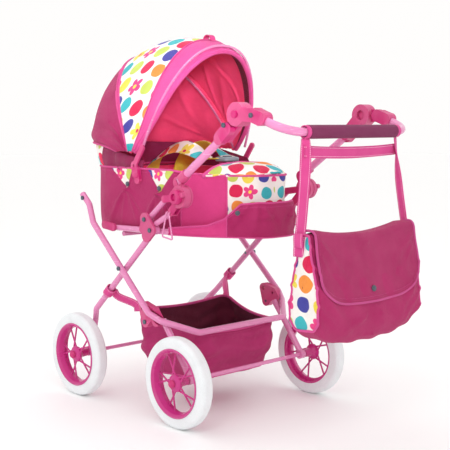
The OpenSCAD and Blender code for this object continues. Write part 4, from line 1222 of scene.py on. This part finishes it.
def rounded_loop(corners, radius, count):
    """A closed loop of points through corners cut by soft rounds, evenly spaced."""
    p = np.asarray(corners, float)
    out = []
    for i, corner in enumerate(p):
        before, after = p[i - 1], p[(i + 1) % len(p)]
        into, away = unit(before - corner), unit(after - corner)
        cut = min(radius, np.linalg.norm(before - corner) * 0.45, np.linalg.norm(after - corner) * 0.45)
        for t in np.linspace(0, 1, 7):
            arc = (1 - t) ** 2 * (corner + into * cut) + 2 * t * (1 - t) * corner
            out.append(arc + t**2 * (corner + away * cut))
    out = np.array(out + out[:1])
    along = travel(out)
    places = np.linspace(0, along[-1], count + 1)
    return np.stack([np.interp(places, along, out[:, i]) for i in range(2)], -1), places


def bag_dip(y, amount):
    """How far a cloth edge hangs down between the straps."""
    return amount * (1 - np.minimum(np.abs(y) / 118, 1) ** 2)


def add_bag():
    loop, along = rounded_loop(BAG_SIDE, 9, 150)
    y = np.sin(np.linspace(-1, 1, 97) * np.pi / 2) * 0.55 + np.linspace(-1, 1, 97) * 0.45
    y = y / np.abs(y).max() * (BAG_HALF - 1.5)
    share = np.abs(y) / BAG_HALF
    x = loop[:, 0][:, None] + 0 * y
    z = loop[:, 1][:, None] + 0 * y
    height = (z - 192) / 198
    z = z - bag_dip(y, 12)[None] * smooth((height - 0.4) / 0.6)
    z = z + 30 * share[None] ** 3.2 * (1 - height) ** 1.5
    waist = (x - BAG_CENTRE[0]) * (0.10 * share[None] ** 6)
    x = x - waist
    grid = np.stack([x, y[None] + 0 * x, z], -1)
    s_front = np.abs(x + 242) < 20
    rim = smooth((np.abs(share - 0.55) - 0.25) / 0.2)[None]
    sag = 2.5 * np.sin(np.pi * np.clip(height, 0, 1)) * (1 - share[None] ** 4)
    for sign in (1, -1):
        yy = sign * y[None] + 0 * x
        for start, end, width, tall in (
            ((140, 300), (60, 214), 8, 3.6), ((142, 270), (70, 200), 7, 3.2), ((140, 240), (95, 196), 6, 2.6),
            ((140, 335), (40, 290), 8, 2.6), ((0, 205), (90, 198), 7, 2.4), ((20, 240), (100, 206), 8, 3.0),
            ((141, 370), (100, 330), 6, 2.2),
        ):
            sag = sag + fold(yy, z, start, end, width, tall)
    sag = sag + 1.3 * np.sin(y / 17 + z / 23)[...] * rim + 1.0 * np.sin(y / 9 - z / 12 + x / 8)
    sag = sag - 2.2 * bump(share, 0.985, 0.02)[None]
    sag = np.where(s_front & (height > 0.3), np.minimum(sag, 1.5), sag)
    grid = pushed(grid, sag, BAG_CENTRE)
    u = np.broadcast_to(along[:, None] * MM, grid.shape[:2])
    flat = np.stack([np.broadcast_to(y * MM, grid.shape[:2]), u], -1)
    # the bag's inner side is the dark maroon painted shade
    cloth = [MAT["magenta"], MAT["painted_shade"]]
    bag = cloth_sheet("bag_shell", grid, cloth, 1.5, 0, 1, flat, BAG_CENTRE, weld=True)
    finish_soft(bag, "bag", ["bag_body"])

    for sign, word in ((1, "left"), (-1, "right")):
        column = grid[:, -1 if sign == 1 else 0]
        middle = column[:-1].mean(0)
        disc = np.array([middle + (column - middle) * q for q in np.linspace(0.02, 1.0, 22)])
        away = np.linspace(0.02, 1.0, 22)[:, None]
        puff = 4.5 * (1 - away**4) + 1.0 * np.sin(disc[..., 2] / 9 + disc[..., 0] / 5) * (1 - away**2)
        disc[..., 1] += sign * (puff - 0.8)
        plan = np.stack([disc[..., 0], disc[..., 2]], -1) * MM
        # the gusset's inner side is the dark maroon painted shade
        cloth = [MAT["gusset"], MAT["painted_shade"]]
        gusset = cloth_sheet(f"bag_gusset_{word}", disc, cloth, 1.2, 0, 1, plan, BAG_CENTRE, weld=True)
        finish_soft(gusset, "bag")
        piping = tube(f"bag_gusset_piping_{word}", column[:-1], 2.2, MAT["piping"], 10, closed=True)
        finish_soft(piping, "bag")


FLAP_HALF = 136
FLAP_ROUND = 70


def add_flap():
    """The bag's flap: over the top from the handle side, and down over the outer face."""
    y = np.linspace(-FLAP_HALF, FLAP_HALF, 121)
    beyond = np.clip((np.abs(y) - (FLAP_HALF - FLAP_ROUND)) / FLAP_ROUND, 0, 1)
    low = 272 + 44 * (1 - np.sqrt(np.maximum(1 - beyond**2.6, 0)))
    path = np.array([(-264, 392.4), (-270, 393.6), (-284, 394), (-292, 393), (-296.5, 388), (-298.3, 380)])
    columns = []
    for yy, end in zip(y, low):
        foot = np.array([np.interp(end, [214, 260, 380], [-318.2, -318.2, -298.3]), end])
        line = np.concatenate([path, [path[-1] + (foot - path[-1]) * t for t in (0.25, 0.5, 0.75, 1.0)]])
        spot = resample(np.column_stack([line[:, 0], np.zeros(len(line)), line[:, 1]]), 2.9)
        share = np.linspace(0, 1, 54)
        spot = np.stack([np.interp(share, np.linspace(0, 1, len(spot)), spot[:, i]) for i in range(3)], -1)
        spot[:, 1] = yy
        columns.append(spot)
    grid = np.stack(columns, 1)
    down = np.linspace(0, 1, 54)[:, None]
    grid[..., 2] -= bag_dip(grid[..., 1], 12) * (1 - 0.25 * down)
    yy, z = grid[..., 1], grid[..., 2]
    waves = 1.2 * np.sin(yy / 21 + 1) * down + 0.8 * np.sin(yy / 9 - z / 12) * smooth(down * 2)
    for start, end, width, tall in (
        ((-128, 372), (-50, 310), 8, 2.6), ((124, 374), (60, 300), 8, 2.6), ((-120, 350), (-90, 300), 6, 2.2),
        ((0, 366), (70, 330), 9, 1.8), ((126, 350), (100, 296), 6, 2.0),
    ):
        waves = waves + fold(yy, z, start, end, width, tall)
    lip = 1.8 * bump(down, 0.97, 0.03)
    grid = pushed(grid, np.maximum(waves + lip, -0.3) + 0.6, BAG_CENTRE)
    # the flap's underside is the dark maroon painted shade
    flap = cloth_sheet("bag_flap_cloth", grid, [MAT["flap"], MAT["painted_shade"]], 1.6, 0, 1, centre=BAG_CENTRE)
    finish_soft(flap, "bag_cover", ["bag_flap"])
    edge = np.concatenate([grid[6:, 0], grid[-1, 1:-1], grid[6:, -1][::-1]])
    trims = [tube("bag_flap_piping", resample(edge, 3), 2.3, MAT["flap_edge"], 10)]
    inner = np.concatenate([grid[8:-3, 3], grid[-4, 4:-4], grid[8:-3, -4][::-1]]) + np.array([-0.4, 0, 0.3])
    trims.append(stitches("bag_flap_stitches", inner, (-1, 0, 0.2), MAT["stitch"]))
    trims.append(round_snap("bag_flap_snap", grid[-9, 60] + [-1.0, 0, 0], (-1, 0, 0.1), 5.5, 3.0))
    for piece in trims:
        finish_soft(piece, "bag_cover")


def add_bag_straps():
    """Folded straps: a collar round each end of the grip bar, a fall to the bag, and a run across."""
    grip_x, grip_z = -262.0, 560.0
    pieces = []
    for sign, word in ((1, "left"), (-1, "right")):
        turn = np.linspace(0, 2 * math.pi, 49)[:-1]
        ring = np.stack([
            grip_x + 10.4 * np.cos(turn), np.full(48, sign * 122.3), grip_z + 10.4 * np.sin(turn)
        ], -1)
        ring = np.concatenate([ring, ring[:1]])
        collar = strap(f"bag_strap_collar_{word}", ring, (0, 1, 0), 8, 2.0, MAT["strap"])
        fall = curve_through([
            (-262, sign * 122.5, 549), (-264, sign * 124, 520), (-267, sign * 131, 460),
            (-270, sign * 141, 400), (-271, sign * 146.5, 374), (-270, sign * 146.5, 350),
        ], 60)
        t = np.linspace(0, 1, len(fall))[:, None]
        across = np.array([[1.0, sign * 0.28, 0]]) * (0.35 + 0.65 * smooth(t * 2.2))
        across = across + np.array([[0, sign * 0.6, 0]]) * (1 - smooth(t * 2.2))
        wide = np.interp(t[:, 0], [0, 0.08, 0.3, 1], [16, 19, 20, 20])
        drop = strap(f"bag_strap_fall_{word}", fall, across, wide, 2.2, MAT["strap"], crown=1.0)
        line = [(-271, sign * 148.3, 366), (-271, sign * 149.2, 378), (-270.5, sign * 148.0, 390)]
        line = curve_through(line, 10)
        tab = strap(f"bag_strap_tab_{word}", line, (1, 0, 0), 21, 1.6, MAT["strap"], crown=0.8)
        pieces += [collar, drop, tab]
    y = np.linspace(-127, 127, 80)
    sag = 4.0 * (1 - (y / 127) ** 2)
    line = np.stack([grip_x - 1.5 * np.sin(y / 60), y, 527 - sag], -1)
    lean = np.stack([0.22 * np.sin(y / 47), 0 * y, np.ones_like(y)], -1)
    run = strap("bag_strap_run", line, lean, 21, 1.8, MAT["strap"], crown=-1.2)
    pieces.append(run)
    for piece in pieces:
        finish_soft(piece, "bag")
    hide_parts("bag_straps")


# ------------------------------------------------------------------ basket


def add_basket():
    """A cloth basket slung between the frames: sagging edges, a soft belly and draped sides."""
    front_top, rear_top = np.array([199.0, 195.0]), np.array([25.0, 170.0])
    front_low, rear_low = np.array([188.0, 60.0]), np.array([38.0, 68.0])
    half_front, half_rear = 123.0, 99.0
    ring_count = 240

    def outline(level):
        """The basket's plan at a level from 0 at the bottom to 1 at the rim, with soft corners."""
        front = front_low + (front_top - front_low) * level
        rear = rear_low + (rear_top - rear_low) * level
        ease = 0.86 + 0.14 * smooth(level * 2.2)
        corners = [
            (front[0], half_front * ease), (rear[0], half_rear * ease),
            (rear[0], -half_rear * ease), (front[0], -half_front * ease),
        ]
        loop, _ = rounded_loop(corners, 26, ring_count)
        share = (loop[:, 0] - rear[0]) / (front[0] - rear[0])
        z = rear[1] + (front[1] - rear[1]) * share
        return loop, z, share

    rings = []
    levels = np.linspace(0, 1, 44)
    for level in levels:
        loop, z, share = outline(level)
        along = np.sin(np.pi * np.clip(share, 0, 1))
        across = np.cos(np.clip(loop[:, 1] / 125, -1, 1) * np.pi / 2) * (1 - along)
        z = z - 13 * level**3 * along - 9 * level**3 * across
        rings.append(np.concatenate([loop, z[:, None]], -1))
    wall = np.array(rings)
    floor_rings = []
    middle = wall[0][:-1].mean(0)
    for share in np.linspace(0.01, 0.95, 12):
        ring = middle + (wall[0] - middle) * share
        ring[:, 2] -= 7 * (1 - share**2)
        floor_rings.append(ring)
    grid = np.concatenate([np.array(floor_rings), wall])
    grid = grid[:, :-1]
    grid = np.concatenate([grid, grid[:, :1]], 1)
    v = np.concatenate([np.full(12, -0.2), levels])[:, None]
    phase = np.linspace(0, 2 * np.pi, ring_count + 1)[None]
    x, y, z = grid[..., 0], grid[..., 1], grid[..., 2]
    swell = np.sin(np.pi * np.clip(v, 0, 1))
    belly = 7.0 * swell**0.8
    drape = 2.6 * np.sin(z / 9 + 1.4 * np.sin(3 * phase) + 1.2 * np.cos(x / 33)) * swell
    drape += 1.4 * np.sin(z / 4.7 + 2.2 * np.sin(5 * phase + 1)) * swell
    for cx, cy in (
        (front_top[0], half_front), (rear_top[0], half_rear),
        (rear_top[0], -half_rear), (front_top[0], -half_front),
    ):
        away = np.hypot(x - cx, y - cy)
        drape += 3.2 * np.exp(-((away - 46 * (1.2 - np.clip(v, 0, 1))) ** 2) / 90) * np.clip(v, 0, 1)
    floor_waves = 1.6 * np.sin(x / 12 + y / 17) * (v < 0)
    centre = (110, 0, 120)
    grid = pushed(grid, np.where(v >= 0, belly + drape, floor_waves), centre)
    # the basket's inner side is the dark maroon painted shade
    cloth = [MAT["basket"], MAT["painted_shade"]]
    basket = cloth_sheet("basket_cloth", grid, cloth, 1.6, 0, 1, centre=centre, weld=True)
    return basket, grid


def sling(piece):
    """Bakes a basket piece's placement into its mesh."""
    blend_by(piece)
    return piece


# The straight upper part of a front leg, and where the basket's strap loops round it
LEG_TOP, LEG_KNEE = (94, 363), (283, 188)
LOOP_AT = [LEG_TOP[i] + 0.75 * (LEG_KNEE[i] - LEG_TOP[i]) for i in (0, 1)]


def dress_basket():
    """The basket's cloth, its bound rim and seam, and the two straps that hang it from the legs."""
    basket, grid = add_basket()
    sling(basket)
    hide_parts("basket", "basket_straps")
    rim = grid[-1][:-1]
    binding = tube("basket_binding", rim + np.array([0, 0, 0.5]), 3.0, MAT["piping"], 10, closed=True)
    row = stitches("basket_stitches", grid[-4], (0, 0, 1), MAT["stitch"])
    seam = tube("basket_seam", grid[13][:-1], 1.6, MAT["piping"], 8, closed=True)
    trims = [sling(piece) for piece in (binding, row, seam)]
    for sign, word in ((1, "left"), (-1, "right")):
        turn = np.linspace(0, 2 * math.pi, 33)
        along = unit(np.array([LEG_KNEE[0] - LEG_TOP[0], 0, LEG_KNEE[1] - LEG_TOP[1]]))
        up = np.array([-along[2], 0, along[0]])
        at = np.array([LOOP_AT[0], sign * 169.0, LOOP_AT[1]])
        ring = at + 9.6 * (np.cos(turn)[:, None] * np.array([0, 1.0, 0]) + np.sin(turn)[:, None] * up)
        loop = strap(f"basket_loop_{word}", ring, along, 20, 1.8, MAT["strap"])
        line = curve_through([
            at - [0, sign * 9.5, 0], (LOOP_AT[0] - 4, sign * 150, LOOP_AT[1] - 14),
            (204, sign * 128, 203), (200, sign * 124.5, 188),
        ], 24)
        hang = strap(f"basket_hanger_{word}", line, along, 20, 1.8, MAT["strap"])
        trims += [finish_soft(piece, "front_legs") for piece in (loop, hang)]


# ------------------------------------------------------------------ hard parts

# The finish and material slot of each hard node, by the start or end of its name
TUBES = (
    "front_axle", "rear_axle", "front_leg", "push_tubes", "rear_frame_tube", "leg_stubs", "lock_ring",
    "handle_tube", "grip_bar", "seat_rail", "hood_bow",
)
HARD = [
    ("tyre_", "tyre", "tyre_foam"), ("rim_", "rim", "rim_plastic"), ("_bolts", "screw", "steel_bolt"),
    ("_screws", "screw", "steel_bolt"), ("_caps", "plastic", "hot_pink_plastic"),
    *((word, "paint", "pink_tube") for word in TUBES),
    ("grip_foam", "grip", "grip_foam"), ("base_board", "board", "board"),
    ("harness_buckle", "buckle", "buckle_plastic"),
]


def dress_hard_parts():
    for name, part in NODES.items():
        if part.hide_render:
            continue
        finish, slot = "plastic", "hot_pink_plastic"
        for word, its_finish, its_slot in HARD:
            if name.startswith(word) or name.endswith(word):
                finish, slot = its_finish, its_slot
                break
        part.data.materials.clear()
        part.data.materials.append(MAT[finish])
        for face in part.data.polygons:
            face.material_index = 0


# ------------------------------------------------------------------ build

add_hood()
add_carrycot()
add_mattress()
add_foot_cover()
add_apron()
add_harness()
add_buckle()
add_bag()
add_flap()
add_bag_straps()
dress_basket()
dress_hard_parts()

# ------------------------------------------------------------------ floor, light and camera


def plain_material(name, code, roughness):
    g = Graph(name)
    grain = g.noise(g.place(), 60, 4)
    return g.finish(rgb(code), roughness, g.bump(grain, 0.0004, 0.3))


def add_stage():
    reach = 14.0
    mesh = bpy.data.meshes.new("floor")
    corners = [(x * reach, y * reach, 0) for x, y in ((-1, -1), (1, -1), (1, 1), (-1, 1))]
    mesh.from_pydata(corners, [], [(0, 1, 2, 3)])
    mesh.materials.append(plain_material("pale_floor", "#FFFFFF", 0.6))
    floor = bpy.data.objects.new("floor", mesh)
    bpy.context.scene.collection.objects.link(floor)


def add_lamp(name, at, aim, size, power, spread=180):
    lamp = bpy.data.lights.new(name, "AREA")
    lamp.shape = "DISK"
    lamp.size = size
    lamp.energy = power
    lamp.spread = math.radians(spread)
    holder = bpy.data.objects.new(name, lamp)
    holder.location = at
    holder.rotation_euler = (Vector(aim) - Vector(at)).to_track_quat("-Z", "Y").to_euler()
    bpy.context.scene.collection.objects.link(holder)


def add_light():
    world = bpy.data.worlds.new("studio")
    world.use_nodes = True
    back = world.node_tree.nodes["Background"]
    back.inputs["Color"].default_value = (1.0, 0.99, 0.98, 1)
    back.inputs["Strength"].default_value = 1.0
    bpy.context.scene.world = world
    add_lamp("key", (1.3, -2.0, 1.9), (0, 0, 0.35), 1.3, 10)
    add_lamp("fill", (1.5, -1.2, 0.85), (-0.15, 0.02, 0.66), 0.3, 0.3, 16)
    add_lamp("top", (-0.4, -0.3, 2.4), (0, 0, 0.3), 1.8, 6)


def add_camera():
    lens = bpy.data.cameras.new("view")
    lens.lens = 79.35
    lens.sensor_width = 36
    lens.clip_end = 30
    camera = bpy.data.objects.new("view", lens)
    camera.location = point(-1400, 1367, 577)
    camera.rotation_euler = Vector((-0.7283, 0.6775, -0.1035)).to_track_quat("-Z", "Y").to_euler()
    bpy.context.scene.collection.objects.link(camera)
    bpy.context.scene.camera = camera


add_stage()
add_light()
add_camera()
bpy.context.scene.view_settings.view_transform = "Standard"
